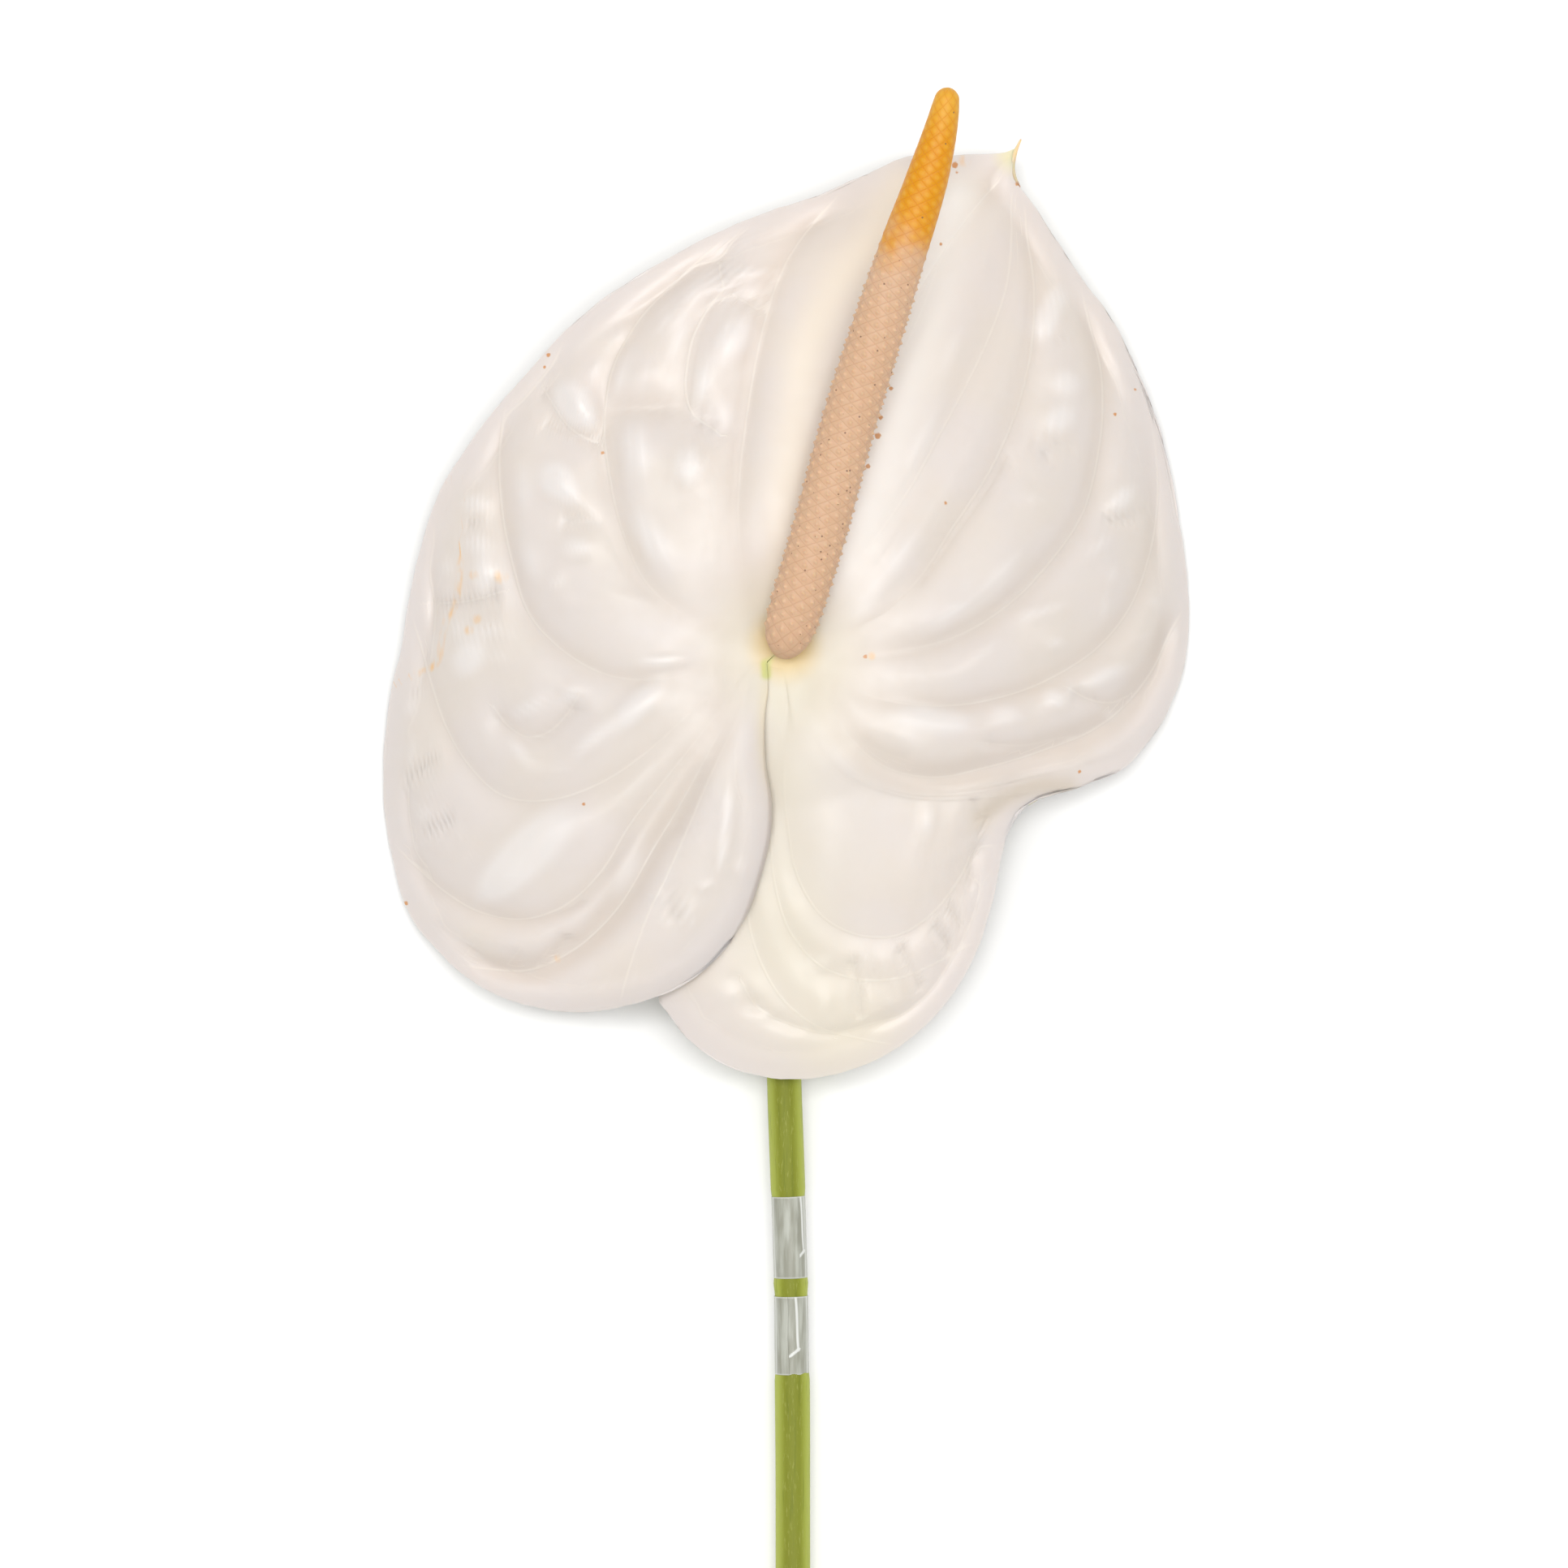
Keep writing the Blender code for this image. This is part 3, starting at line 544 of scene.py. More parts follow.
# Finer veins and folds between those: furrow depth, furrow width, strength of the pale line on it,
# and points
LEFT_BRANCHES = (
    (0.7, 2.2, 1, ((-17.8, 63.7), (-15.1, 66.2), (-10.4, 67.5), (-8.3, 70.4), (-5.2, 73.1))),
    (0.6, 2, 0.9, ((-10.4, 67.5), (-10.4, 64.7), (-9.7, 62.3))),
    (0.8, 2.8, 1, (
        (-9.7, 62.3), (-13, 58), (-15.1, 53.8), (-16.1, 49), (-16.4, 45.4), (-15.5, 41.2), (-10.4, 37),
    )),
    (0.7, 2.4, 0.6, ((-9.7, 62.3), (-7.3, 60.5), (-4.6, 58.9), (-3.1, 57.7))),
    (0.6, 2, 0.9, ((-48.4, 37.1), (-47.6, 40.3), (-44.4, 43.3), (-41.7, 46.5), (-39.6, 49), (-37.5, 53.2))),
    (0.7, 3, 0.7, ((-41.7, 46.5), (-39.1, 42.3), (-37, 39.1), (-32.3, 36), (-30.4, 35.7))),
    (0.9, 4, 0, ((-29, 42), (-23.4, 41.2), (-17.1, 41.6))),
    (0.7, 2.2, 0.8, (
        (-60.5, -1.5), (-59.9, 7.4), (-60.9, 14), (-60.2, 18.8), (-60.1, 22.8), (-58.9, 26), (-57.4, 28.1),
    )),
    (0.7, 2.4, 0.6, ((-61.9, 8.1), (-54.9, 8.4), (-47.9, 10.1))),
    (0.8, 2.8, 0.6, (
        (-49.8, -9.5), (-46.8, -13.4), (-43.8, -15.1), (-40.2, -14.3), (-37.2, -11.6), (-34.9, -8.1),
    )),
    (0.5, 2, 0.8, ((-61.2, -37.9), (-63.3, -35), (-64.1, -31.4), (-64.7, -26.6), (-64.7, -23))),
    (0.6, 1.6, 0.3, ((-53.3, -51.1), (-55.2, -53.5))), (0.6, 1.6, 0.3, ((-45.1, -51.7), (-47.5, -54.6))),
    (0.6, 1.6, 0.3, ((-40.2, -51.7), (-42.3, -54.6))),
    (0.9, 2.4, 0, ((-36.1, -49.3), (-37.8, -51.2), (-39.6, -53.3))),
    (0.9, 2.6, 0, ((-5, -3.2), (-8, -11.1), (-10.9, -17.1), (-14, -22.4), (-16.9, -28.4), (-19.3, -33.2))),
    (0.55, 1.5, 0, ((-41.2, 39.6), (-38.1, 37.8), (-34.6, 37.1), (-30.8, 35.7))),
    (0.35, 1.8, 0, ((-38.1, 22.4), (-33.9, 22), (-30, 21.6))),
    (0.45, 2.2, 0, ((-28, 42), (-22.7, 41.6), (-17.8, 40.9), (-12.9, 38.2), (-8.4, 35.3))),
    (0.4, 1.7, 0, ((-9.7, 60.8), (-7, 59.4), (-4.5, 57.7))),
    (0.55, 1.1, 0, ((-58, 28.3), (-59.9, 23.1), (-60.8, 16.8), (-60.1, 10.5))),
    (0.3, 1.1, 0, ((-54.2, 22), (-52.1, 22.1), (-49, 21.8))),
    (0.35, 1.4, 0, ((-30.4, 24.5), (-29.4, 18.9), (-26.2, 13.3), (-21, 8.1))),
    (0.7, 1.3, 0, ((-52.8, -44.8), (-47.9, -46.3), (-43, -46.6), (-37.4, -45.2), (-32.8, -42.6))),
    (0.5, 2, 0, ((-10.4, -9.5), (-15.7, -17.5), (-21.8, -27), (-26.9, -34.3), (-31.4, -39.9))),
    (0.5, 2, 0, ((-27.6, -41.3), (-30.4, -44.5), (-33.2, -47.6))),
    (0.6, 1.7, 0, ((-36.7, -49.3), (-38.8, -52.1), (-40.3, -54.3))),
    (0.4, 2.2, 0, ((-59.8, -47.6), (-55.6, -51.1), (-50.7, -52.9))),
    (0.35, 2, 0, ((-4.2, -7), (-4.2, -14), (-4.1, -21), (-3.4, -28))),
    (0.3, 1.4, 0, ((-16.4, -34.3), (-19.2, -39.2), (-17.8, -47.6))),
    (0.35, 0.8, 0, ((-64.7, -7), (-61.2, -6.4), (-58.4, -7))),
    (0.3, 0.7, 0, ((-58.4, -18.2), (-61.9, -20.3), (-65.8, -22.1))),
    (0.3, 0.7, 0, ((-56.3, -28.7), (-59.8, -30.5), (-63.3, -31.9))),
)
RIGHT_BRANCHES = (
    (0.4, 2, 0.7, ((20.4, 49.8), (24.4, 58.8), (27.7, 67.2), (30.5, 72.8), (33.9, 79))),
    (0.7, 2.2, 0.7, ((49.8, -6.7), (53.8, -8.7), (57.3, -9), (60.2, -7.8))),
    (0.7, 2.4, 0.3, ((13.3, -16), (17.9, -17.8), (22.5, -19.3))),
    (0.7, 2.2, 0.3, ((34.2, -16), (41, -16.5), (49.1, -15), (52.1, -14.7))),
    (0.35, 2.2, 0, ((54, -22.5), (48.2, -22.7), (44.2, -23), (41.3, -23.7), (38.2, -25.1))),
    (0.4, 1.8, 0, ((33, -25), (33.3, -27.2), (34.4, -29.7))),
    (0.45, 2.2, 0, ((42.3, -25.3), (39.8, -26.2), (37.9, -28), (36, -29.3), (34.4, -29.7))),
    (0.3, 1.3, 0.6, ((33.9, -34), (32.9, -35.4), (32.3, -37.1))),
    (0.3, 1.3, 0.6, ((36.6, -34), (37, -36.2), (36.4, -38.1), (35.2, -39.6))),
    (0.3, 1.3, 0.6, ((31.6, -38.6), (34.1, -40), (34.8, -42), (33.7, -45.9))),
    (0.6, 1.4, 0.4, ((20.3, -50.7), (22.4, -54.6), (24.4, -58.8))),
    (0.6, 1.4, 0.4, ((26, -47.2), (27.9, -49.7), (29.5, -52.4))),
    (0.6, 1.4, 0.4, ((28.4, -44.2), (30.1, -46.2), (31.8, -48.3))),
    (0.6, 1.4, 0.4, ((31.8, -39.1), (33.3, -39.8), (34.7, -40.7))),
    (0.5, 1.4, 0.4, ((12.2, -52.9), (13.3, -58.4), (13.9, -64))),
    (0.5, 1.8, 0.7, (
        (34.7, -40.7), (32.6, -47.6), (29.5, -53.5), (24.4, -60.5), (20.3, -63.4), (15.7, -64.5),
        (8.7, -66.2), (1.8, -64.7), (-4.1, -61.6), (-7, -57),
    )),
    (0.75, 1.5, 0, ((40.3, 35), (37, 29.7), (32.2, 22.7), (27.7, 16.5), (22.8, 9.8))),
    (0.45, 1.3, 0, ((44.2, 33.3), (47.3, 35.4), (51, 35.7))),
    (0.5, 1.1, 0, ((55.2, 22.4), (59.2, 23), (64.1, 25.2))),
    (0.6, 1.1, 0, ((6, -1.1), (13.7, -1.5), (20.7, -0.8), (27.7, 0.7), (33.3, 3.2), (39.6, 7.7))),
    (0.6, 1.1, 0, ((52.2, -7), (56.4, -9.2), (60.3, -8.7), (64.1, -5.6), (66.5, -2.1))),
    (0.4, 1, 0, ((42.8, -15), (48, -14.7), (52.6, -14.6))),
    (0.4, 1, 0, ((34.4, -15.4), (36.8, -16.1), (39.6, -16))),
    (0.5, 2.4, 0, ((13.4, -14.7), (17.2, -17.5), (21.8, -19.3))),
    (0.75, 1.7, 0, ((20.7, -9.5), (25.6, -9.7), (31.2, -9.5), (35.4, -8.5), (42, -7.3), (47.3, -5.3))),
    (0.4, 1.7, 0, ((51.5, -19.9), (56.4, -19.3), (61.3, -17.6))),
    (0.35, 2, 0, ((10.2, -47.6), (14.4, -49), (19.3, -48.6))),
    (0.3, 2.4, 0, ((24.9, -42.7), (28.4, -39.9), (30.8, -35))),
    (0.35, 1.1, 0, ((43.8, 51.8), (48, 53.6), (51.5, 55.7))),
    (0.25, 0.7, 0, ((26.3, -48.3), (29.1, -51.1), (30.1, -54.6))),
    (0.25, 0.7, 0, ((28.4, -44.1), (30.5, -45.9), (32.2, -47.9))),
)
# Pillows between the veins: middle, half length, half width, direction in degrees, and strength
PILLOWS = (
    (-35.8, 42.4, 4.2, 2.8, -50, 1.3), (-32.9, 39.9, 2, 1.3, -55, 0.8), (-38.4, 29.1, 3.6, 2.8, -40, 1.2),
    (-35.8, 26, 2, 1.4, -30, 0.7), (-52.9, 25.3, 2.8, 1.8, 0, 1.2), (-52.6, 18.5, 2.8, 1.7, -10, 1.1),
    (-57.7, 14.6, 2.2, 1.7, 90, 0.9), (-51.5, 12.9, 3.9, 2, 90, 1.2), (-35, 17.5, 3.4, 2, 0, 1),
    (-38.9, 11.5, 1.8, 1.3, 60, 0.9), (-37, 8.7, 1.7, 1.1, 0, 0.7), (-50.7, 3.5, 3.6, 1.5, 0, 1),
    (-56, 3.9, 2, 1.7, 90, 0.8), (-15.7, 31.4, 3.4, 2.4, -75, 1.2), (-17.4, 53.2, 5.6, 1.5, 83, 1.2),
    (-13.4, 46.2, 5, 1.7, 85, 1.3), (-7.8, 53.5, 3.9, 2.5, 70, 1.3), (-19.9, 56.7, 3.6, 1.5, 80, 0.9),
    (-27.6, 46.5, 3.4, 1.7, 80, 1), (-25.5, 50.7, 2.8, 1.3, 70, 0.8), (-23, 47.3, 3.9, 1.4, 85, 0.8),
    (-15, 61.3, 2.5, 1.5, 65, 0.9), (-11.5, 63, 2, 1.3, 20, 0.9), (-6.2, 64.8, 2, 1.4, 0, 1.1),
    (-2.4, 65, 1.7, 1.3, 0, 1), (-3.1, 59.2, 1.8, 1.3, 40, 1), (-27.9, 54.3, 2.2, 1.5, 30, 0.9),
    (-32.2, 49, 1.3, 1.1, 0, 0.7), (-6.6, 69.6, 3.6, 1.4, 50, 0.8), (-24.4, 33.6, 5.9, 2.5, 95, 0.9),
    (-22, 18.9, 7, 2.5, -58, 0.9), (-44.4, 28, 6.3, 2, 95, 0.7), (-43, 15.4, 4.8, 2.2, -75, 0.7),
    (-26.2, 8.8, 3.6, 1.1, -10, 0.5), (-54, -1.4, 3.6, 2.8, 60, 1), (-48.4, -1.4, 2.2, 1.7, 0, 0.7),
    (-64.5, -9.8, 2.1, 1.8, 90, 0.9), (-64, -17.9, 4.2, 1.4, 90, 0.9), (-60.9, -24.5, 2.8, 1, 15, 0.8),
    (-61.7, -28.3, 2, 1.7, 0, 0.9), (-55.9, -31.9, 1.3, 1.1, 0, 0.7), (-58.9, -33.7, 2.2, 1, 0, 0.7),
    (-54.2, -35.8, 3.4, 1.1, 45, 0.7), (-43.4, -10.1, 3.9, 1.7, 20, 1), (-36.3, -8.1, 3.4, 1.7, 45, 0.9),
    (-24.5, -9.8, 6.2, 2.1, 45, 1.3), (-32.8, -15.7, 4.8, 1.7, 42, 1), (-45.1, -17.5, 3.6, 1.7, -55, 0.9),
    (-39.2, -20.7, 3.9, 1.1, 5, 0.7), (-21, -2.1, 5, 1.3, 5, 1.2), (-43, -34.3, 9.8, 3.9, 42, 0.9),
    (-48.2, -39.8, 4.2, 2.2, 40, 1), (-9.2, -28, 6.4, 1.3, 85, 1.2), (-10.2, -35.7, 3.6, 1.1, 80, 1.2),
    (-16, -45.4, 3.1, 1.1, -65, 1.3), (-12.9, -40.9, 1.1, 1, 0, 0.8), (-22.3, -42.4, 1.3, 1.1, 0, 0.8),
    (-25.5, -56, 2.2, 1.1, 80, 1.1), (-33.6, -58.1, 2.8, 1, -75, 0.8), (-26.2, -38.5, 6.2, 2.1, 60, 0.8),
    (-46.9, -53.2, 3.1, 0.8, 65, 1), (-41.7, -52.9, 2, 0.7, 60, 0.9), (-53.1, -50.1, 2.2, 0.8, 55, 0.9),
    (-59.1, -45.5, 3.1, 1.1, 30, 0.6), (-38.1, -58.8, 2.8, 0.8, 85, 0.7), (-30.4, -58.1, 2.8, 0.8, 70, 0.7),
    (-46.9, -57.7, 2, 0.7, 80, 0.6), (-6.2, -37.8, 2, 1.7, 0, 0.6), (45.9, 56.7, 3.6, 2.1, 70, 1.3),
    (48, 61.3, 2.5, 2, 60, 0.9), (49.4, 46.2, 2.5, 2.5, 0, 1), (48.2, 40, 3.4, 2.4, 30, 1.1),
    (43.8, 26, 2.1, 1.3, 0, 1), (59.1, 26.3, 3.4, 1.7, 45, 1.4), (55, 18.1, 3.6, 1.3, 42, 1.1),
    (29.4, 51.8, 5.6, 1.7, 70, 0.8), (24.2, 35.7, 8.4, 1.8, 67, 0.9), (30, 77.7, 5.6, 2, 78, 0.7),
    (34.9, 66.5, 2, 1, 75, 0.7), (58.2, 50.4, 3.6, 1.1, -60, 0.8), (60.6, 44.8, 2.2, 1.1, -50, 0.6),
    (19.7, 15.4, 8.4, 1.8, 50, 0.9), (13.7, 6.7, 4.8, 2.2, 40, 0.7), (37.8, 12.9, 6.2, 1.8, 48, 1),
    (29.1, 6, 5.3, 1.7, 35, 1), (42.8, 6, 2.8, 1.4, 15, 1), (47.3, 7.3, 3.1, 1.3, 15, 0.9),
    (47.3, 1.3, 2.5, 1.4, 10, 1.1), (55.9, 7.6, 3.6, 1.3, 80, 1), (57.3, 13.2, 2.1, 1.4, 60, 0.9),
    (35.4, 0, 4.2, 1.4, 30, 0.8), (65.1, 8.3, 2.1, 1.4, 0, 0.9), (62.9, 2.5, 3.4, 1.1, 20, 0.9),
    (56, -4.5, 5, 1.7, 25, 1.2), (47.3, -8.5, 2.5, 1.7, -20, 1.3), (57, -11.2, 1.8, 1.4, 0, 0.9),
    (38.9, -11.2, 3.4, 2, 0, 0.9), (24.2, -11.9, 5.6, 2.8, -10, 0.9), (30.5, -12.6, 3.4, 2.2, 0, 0.6),
    (22.8, -16.1, 4.2, 1.7, -15, 0.6), (48, -18.2, 5.6, 1, 10, 0.6), (25.3, -29.7, 3.6, 1.5, 85, 1),
    (12.7, -59.5, 4.5, 0.7, -85, 0.9), (14.7, -58.5, 6.2, 0.7, -85, 1), (17.6, -55.3, 2.5, 0.7, -80, 0.8),
    (19.5, -57.7, 6.2, 0.8, -78, 1), (7.4, -54.3, 1.4, 1.1, 0, 0.9), (7.3, -61.6, 2.2, 1.3, 80, 0.9),
    (18.8, -61, 1.4, 1, 0, 0.7), (23, -54.9, 5, 1, -62, 0.9), (-2.9, -63.1, 1.5, 1.1, 0, 1),
    (28, -53.2, 3.6, 1.1, -55, 0.8), (31.2, -46.9, 3.1, 1.3, -45, 0.7), (8.1, -36.4, 8.4, 3.6, 85, 0.3),
    (3.9, -66.5, 1.7, 1.1, 70, 0.6), (-8, -59.5, 3.6, 1.7, 10, 0.6),
)
# Lines that the blade's tints, stains, painted light beside the spadix and painted shade in the pleat's
# pocket follow
CREAM_LINE = ((-1.0, -9.0), (-1.5, -30.0), (1.0, -52.0), (10.0, -66.0))
FILL_LIGHT_LINE = ((6.0, 3.0), (11.5, 15.0), (18.0, 36.0), (22.5, 51.0), (26.5, 65.0), (30.0, 77.0))
PEACH_REFLECTION_LINE = ((-1.0, 9.0), (0.4, 20.2), (2.6, 38.0), (5.2, 53.2), (10.5, 64.0), (16.9, 72.1), (21.0, 80.0))
STREAK_LINE = (
    (-55.4, 16.0), (-55.7, 11.3), (-56.6, 7.1), (-58.0, 4.8), (-58.7, 1.5), (-59.4, -2.1), (-63.1, -4.1),
)
NOTCH_LINE = ((-2.6, -2.6), (-2.5, -4.4))
POCKET_LINE = ((49.4, -23.6), (44.2, -23.5), (39.5, -25.2), (36.4, -27.3), (34.7, -29.1))
# Each tint's line and how far it spreads beside it
TINT_BANDS = {
    "cream": (CREAM_LINE, 11.0), "peach": (PEACH_REFLECTION_LINE, 3.6), "notch": (NOTCH_LINE, 1.0),
    "pocket": (POCKET_LINE, 2.0), "glow": (FILL_LIGHT_LINE, 5.0),
}
HEM_WIDTH = 1.5
# Brown and orange specks: place and radius
SPECKS = (
    ((19, 44.9), 0.3), ((17.2, 39.9), 0.36), ((16.7, 36.7), 0.5), ((15, 31.4), 0.36), ((28.4, 25.2), 0.22),
    ((27.7, 70.1), 0.2), ((-30.7, 33.9), 0.25), ((-40.2, 51), 0.32), ((-40.9, 49), 0.22),
    ((-34, -26.7), 0.25), ((58.1, 41), 0.25), ((61.7, 45.5), 0.2), ((51.8, -21.1), 0.28),
    ((14.6, -1.3), 0.3), ((-65.4, -44), 0.3), ((30.2, 84), 0.5), ((30.5, 82.7), 0.2), ((41.1, 81), 0.4),
)
# Peach blotches: place and radius
BLOTCHES = (
    ((-48.4, 12.7), 1.7), ((-53.1, 13), 1.2), ((-52.6, 5.3), 1.3), ((-54, 3.4), 1.2), ((-51, 4.4), 1.1),
    ((-38.6, -53.4), 1), ((15.6, -1.2), 1), ((31.8, 84.9), 1.6),
)
PETAL_WHITE = (0.69, 0.615, 0.572)
PETAL_CREAM = (0.69, 0.611, 0.55)
# A darker tone for the random mottle, also used as painted shade in the furrows
MOTTLE_AND_FURROW_SHADE = (0.60, 0.515, 0.447)
PILLOW_PAINTED_HIGHLIGHT = (0.80, 0.735, 0.70)
RIM_PINK = (0.68, 0.615, 0.59)
VEIN_PALE = (0.80, 0.72, 0.64)
CREAM_YELLOW = (0.72, 0.647, 0.50)
PEACH_PAINTED_REFLECTION = (0.86, 0.735, 0.60)
PAINTED_FILL_LIGHT = (0.93, 0.85, 0.78)
HEM_YELLOW = (0.68, 0.56, 0.33)
POCKET_PAINTED_SHADE = (0.57, 0.49, 0.40)
AMBER = (0.68, 0.47, 0.16)
NOTCH_GREEN = (0.50, 0.52, 0.10)
CUSP_YELLOW = (0.76, 0.69, 0.46)
SPECK_BROWN = (0.56, 0.25, 0.08)
STREAK_ORANGE = (0.80, 0.46, 0.19)
BACK_CREAM = (0.68, 0.65, 0.53)
BACK_VEIN_GREEN = (0.68, 0.70, 0.42)


def beside_line(points, points_on_line, reach=14.0):
    """Distance in plan to a line, signed by the side, and the share of it passed; far past reach."""
    line = smooth_line(points_on_line, steps=5)
    distance = np.full(len(points), 2 * reach)
    passed = np.zeros(len(points))
    low, high = line.min(axis=0) - reach, line.max(axis=0) + reach
    close = np.all((points > low) & (points < high), axis=1)
    start, step = line[:-1], np.diff(line, axis=0)
    from_start = points[close][:, None, :] - start
    share = np.clip((from_start * step).sum(axis=2) / (step * step).sum(axis=1), 0.0, 1.0)
    apart = from_start - share[..., None] * step
    away = np.linalg.norm(apart, axis=2)
    nearest = np.argmin(away, axis=1)
    pick = (np.arange(len(nearest)), nearest)
    side = step[nearest, 0] * apart[pick][:, 1] - step[nearest, 1] * apart[pick][:, 0]
    distance[close] = away[pick] * np.where(side < 0, -1.0, 1.0)
    passed[close] = (nearest + share[pick]) / len(step)
    return distance, passed


def blade_plan():
    """The margin, the veins, the blade's grid in plan, and each column's place among the veins."""
    margin = smooth_line(MARGIN)
    along = lengths(margin)
    ends = []
    for *_, points in VEINS:
        nearest = np.argmin(np.linalg.norm(margin - np.array(points[-1]), axis=1))
        ends.append(along[nearest])
    ends[0] = 0.0
    ends[-1] = along[-1]
    rows = np.interp(np.linspace(0, len(ROW_PLACES) - 1, ROWS), range(len(ROW_PLACES)), ROW_PLACES)
    veins = []
    for start, _, points in VEINS:
        angle = math.radians(start)
        line = smooth_line(((NECK_RING * math.cos(angle), NECK_RING * math.sin(angle)),) + points)
        total = lengths(line)[-1]
        # rows leave the neck evenly on short and long veins alike
        pace = 1 + math.log(total / EVEN_LENGTH) / math.log(5)
        veins.append(read_line(line, rows**pace * total))
    plan, places = [], []
    for gap, (first, last) in enumerate(zip(ends, ends[1:])):
        count = max(4, round(COLUMNS * (last - first) / along[-1]))
        if gap in (MIDRIB - 1, MIDRIB):
            count += TIP_COLUMNS
        for step in range(count + (gap == len(ends) - 2)):
            share = step / count
            # columns crowd towards the tip, where the cusp is narrow
            if gap == MIDRIB - 1:
                share = 1 - (1 - share) ** TIP_CROWDING
            elif gap == MIDRIB:
                share = share**TIP_CROWDING
            end = read_line(margin, [first + (last - first) * share])[0]
            column = veins[gap] * (1 - share) + veins[gap + 1] * share
            plan.append(column + (rows**3)[:, None] * (end - column[-1]))
            places.append(gap + share)
    return margin, veins, evened(np.array(plan)), np.array(places)


def evened(plan):
    """The grid, with those few columns spread out that would cross at the tip and in the pleat."""
    for _ in range(20):
        across, outward = np.diff(plan, axis=0), np.diff(plan, axis=1)
        inner = across[:, :-1, 0] * outward[:-1, :, 1] - across[:, :-1, 1] * outward[:-1, :, 0]
        outer = across[:, 1:, 0] * outward[1:, :, 1] - across[:, 1:, 1] * outward[1:, :, 0]
        turn = np.sign(np.median(inner))
        close = np.zeros(plan.shape[:2], bool)
        for column, row in zip(*np.nonzero(np.minimum(inner * turn, outer * turn) < -1e-6)):
            close[column - 1:column + 3, max(1, row - 2):row + 4] = True
        close[:, -1] = False
        mean = plan.copy()
        mean[1:-1] = 0.25 * plan[:-2] + 0.5 * plan[1:-1] + 0.25 * plan[2:]
        plan = np.where(close[..., None], mean, plan)
    return plan


def build_relief(points, place, margin, veins):
    """Height above the table of each point and marks for the finish, one side of the blade at a time."""
    left = place < MIDRIB
    marks = {name: np.zeros(len(points)) for name in ("edge", "near", "side", "line", "furrow", "pillow")}
    height = np.zeros(len(points))
    for is_left in (True, False):
        here = left == is_left
        p = points[here]
        x, y = p[:, 0], p[:, 1]
        reach = np.hypot(x, y)
        if is_left:
            border = np.vstack([margin[: len(margin) * 60 // 100], veins[0]])
        else:
            border = np.vstack([margin[len(margin) * 35 // 100:], veins[-1]])
        edge = np.abs(beside_polyline(p, border))
        high = DOME_HEIGHT - DOME_SIDE_DROP * np.abs((x - DOME_MIDDLE) / DOME_HALF_WIDTH) ** DOME_CURVE
        high -= DOME_END_DROP * (y / DOME_LENGTH) ** 2
        high += (NECK_HEIGHT - DOME_HEIGHT) * np.exp(-((reach / NECK_DISH) ** 2))
        away = ramp(reach, NECK_RING, 24.0)
        sunk, near, side, pale = furrows_at(p, is_left)
        inside = ramp(edge, 0.5, 2 * ROLL_WIDTH)
        swell = SWELL_HEIGHT * np.array([noise.noise((a / SWELL_SIZE, b / SWELL_SIZE, 0.3)) for a, b in p])
        calm = ramp(reach, 14.0, 40.0) * ramp(np.abs(x - y * LEAN), 5.0, 22.0)
        pillow = np.zeros(len(p))
        for middle_x, middle_y, long, wide, turn, strength in PILLOWS:
            ahead = np.array([math.cos(math.radians(turn)), math.sin(math.radians(turn))])
            apart = p - (middle_x, middle_y)
            along, across = apart @ ahead, apart @ (-ahead[1], ahead[0])
            pillow += strength * wide * np.exp(-((along / long) ** 2) - (across / wide) ** 2)
        high += away * (inside * (QUILT_RISE + swell * calm) + PILLOW_RISE * pillow)
        sunk += RIM_FURROW * np.exp(-(((edge - RIM_BAND) / RIM_FURROW_WIDTH) ** 2))
        high -= ramp(reach, 7.0, 42.0) * ramp(edge, 0.2, 5.0) * sunk
        from_tip = np.hypot(x - TIP[0], y - TIP[1])
        rolled = np.clip(1 - edge / ROLL_WIDTH, 0.0, 1.0) ** 2
        high -= away * ROLL_DROP * rolled * ramp(from_tip, 3.0, 14.0)
        lobe = np.clip((reach - NECK_RING) / LOBE_EASE, 0.0, 1.0)
        if is_left:
            high += LOBE_LIFT * lobe * (1 - ramp(place[here], 0.0, 4.0))
            tucked = np.clip(1 - edge / TUCK_WIDTH, 0.0, 1.0) ** 2 * (1 - ramp(place[here], 0.8, 2.0))
            high -= LOBE_TUCK * tucked * lobe
        else:
            high -= LOBE_DROP * lobe * ramp(place[here], PLEAT - 3.0, PLEAT + 4.0)
            crease = np.abs(beside_polyline(p, veins[PLEAT]))
            high -= PLEAT_DROP * np.exp(-((crease / PLEAT_WIDTH) ** 2)) * ramp(reach, 20.0, 38.0)
        height[here] = high
        for name, values in zip(marks, (edge, near, side, pale, sunk, pillow)):
            marks[name][here] = values
    for name, (line, width) in TINT_BANDS.items():
        away, _ = beside_line(points, line, reach=4 * width)
        marks[name] = np.exp(-((away / width) ** 2))
    marks["cream"] *= ~left
    away, _ = beside_line(points, VEINS[0][2])
    marks["hem"] = left * np.exp(-((away / HEM_WIDTH) ** 2)) * (1 - ramp(np.hypot(*points.T), 14.0, 34.0))
    marks["streak"], _ = beside_line(points, STREAK_LINE)
    return height, marks


def beside_polyline(points, line):
    """Distance in plan to a finely divided line."""
    found = np.empty(len(points))
    for first in range(0, len(points), 4000):
        part = points[first:first + 4000]
        found[first:first + 4000] = np.linalg.norm(part[:, None] - line[None], axis=2).min(axis=1)
    return found


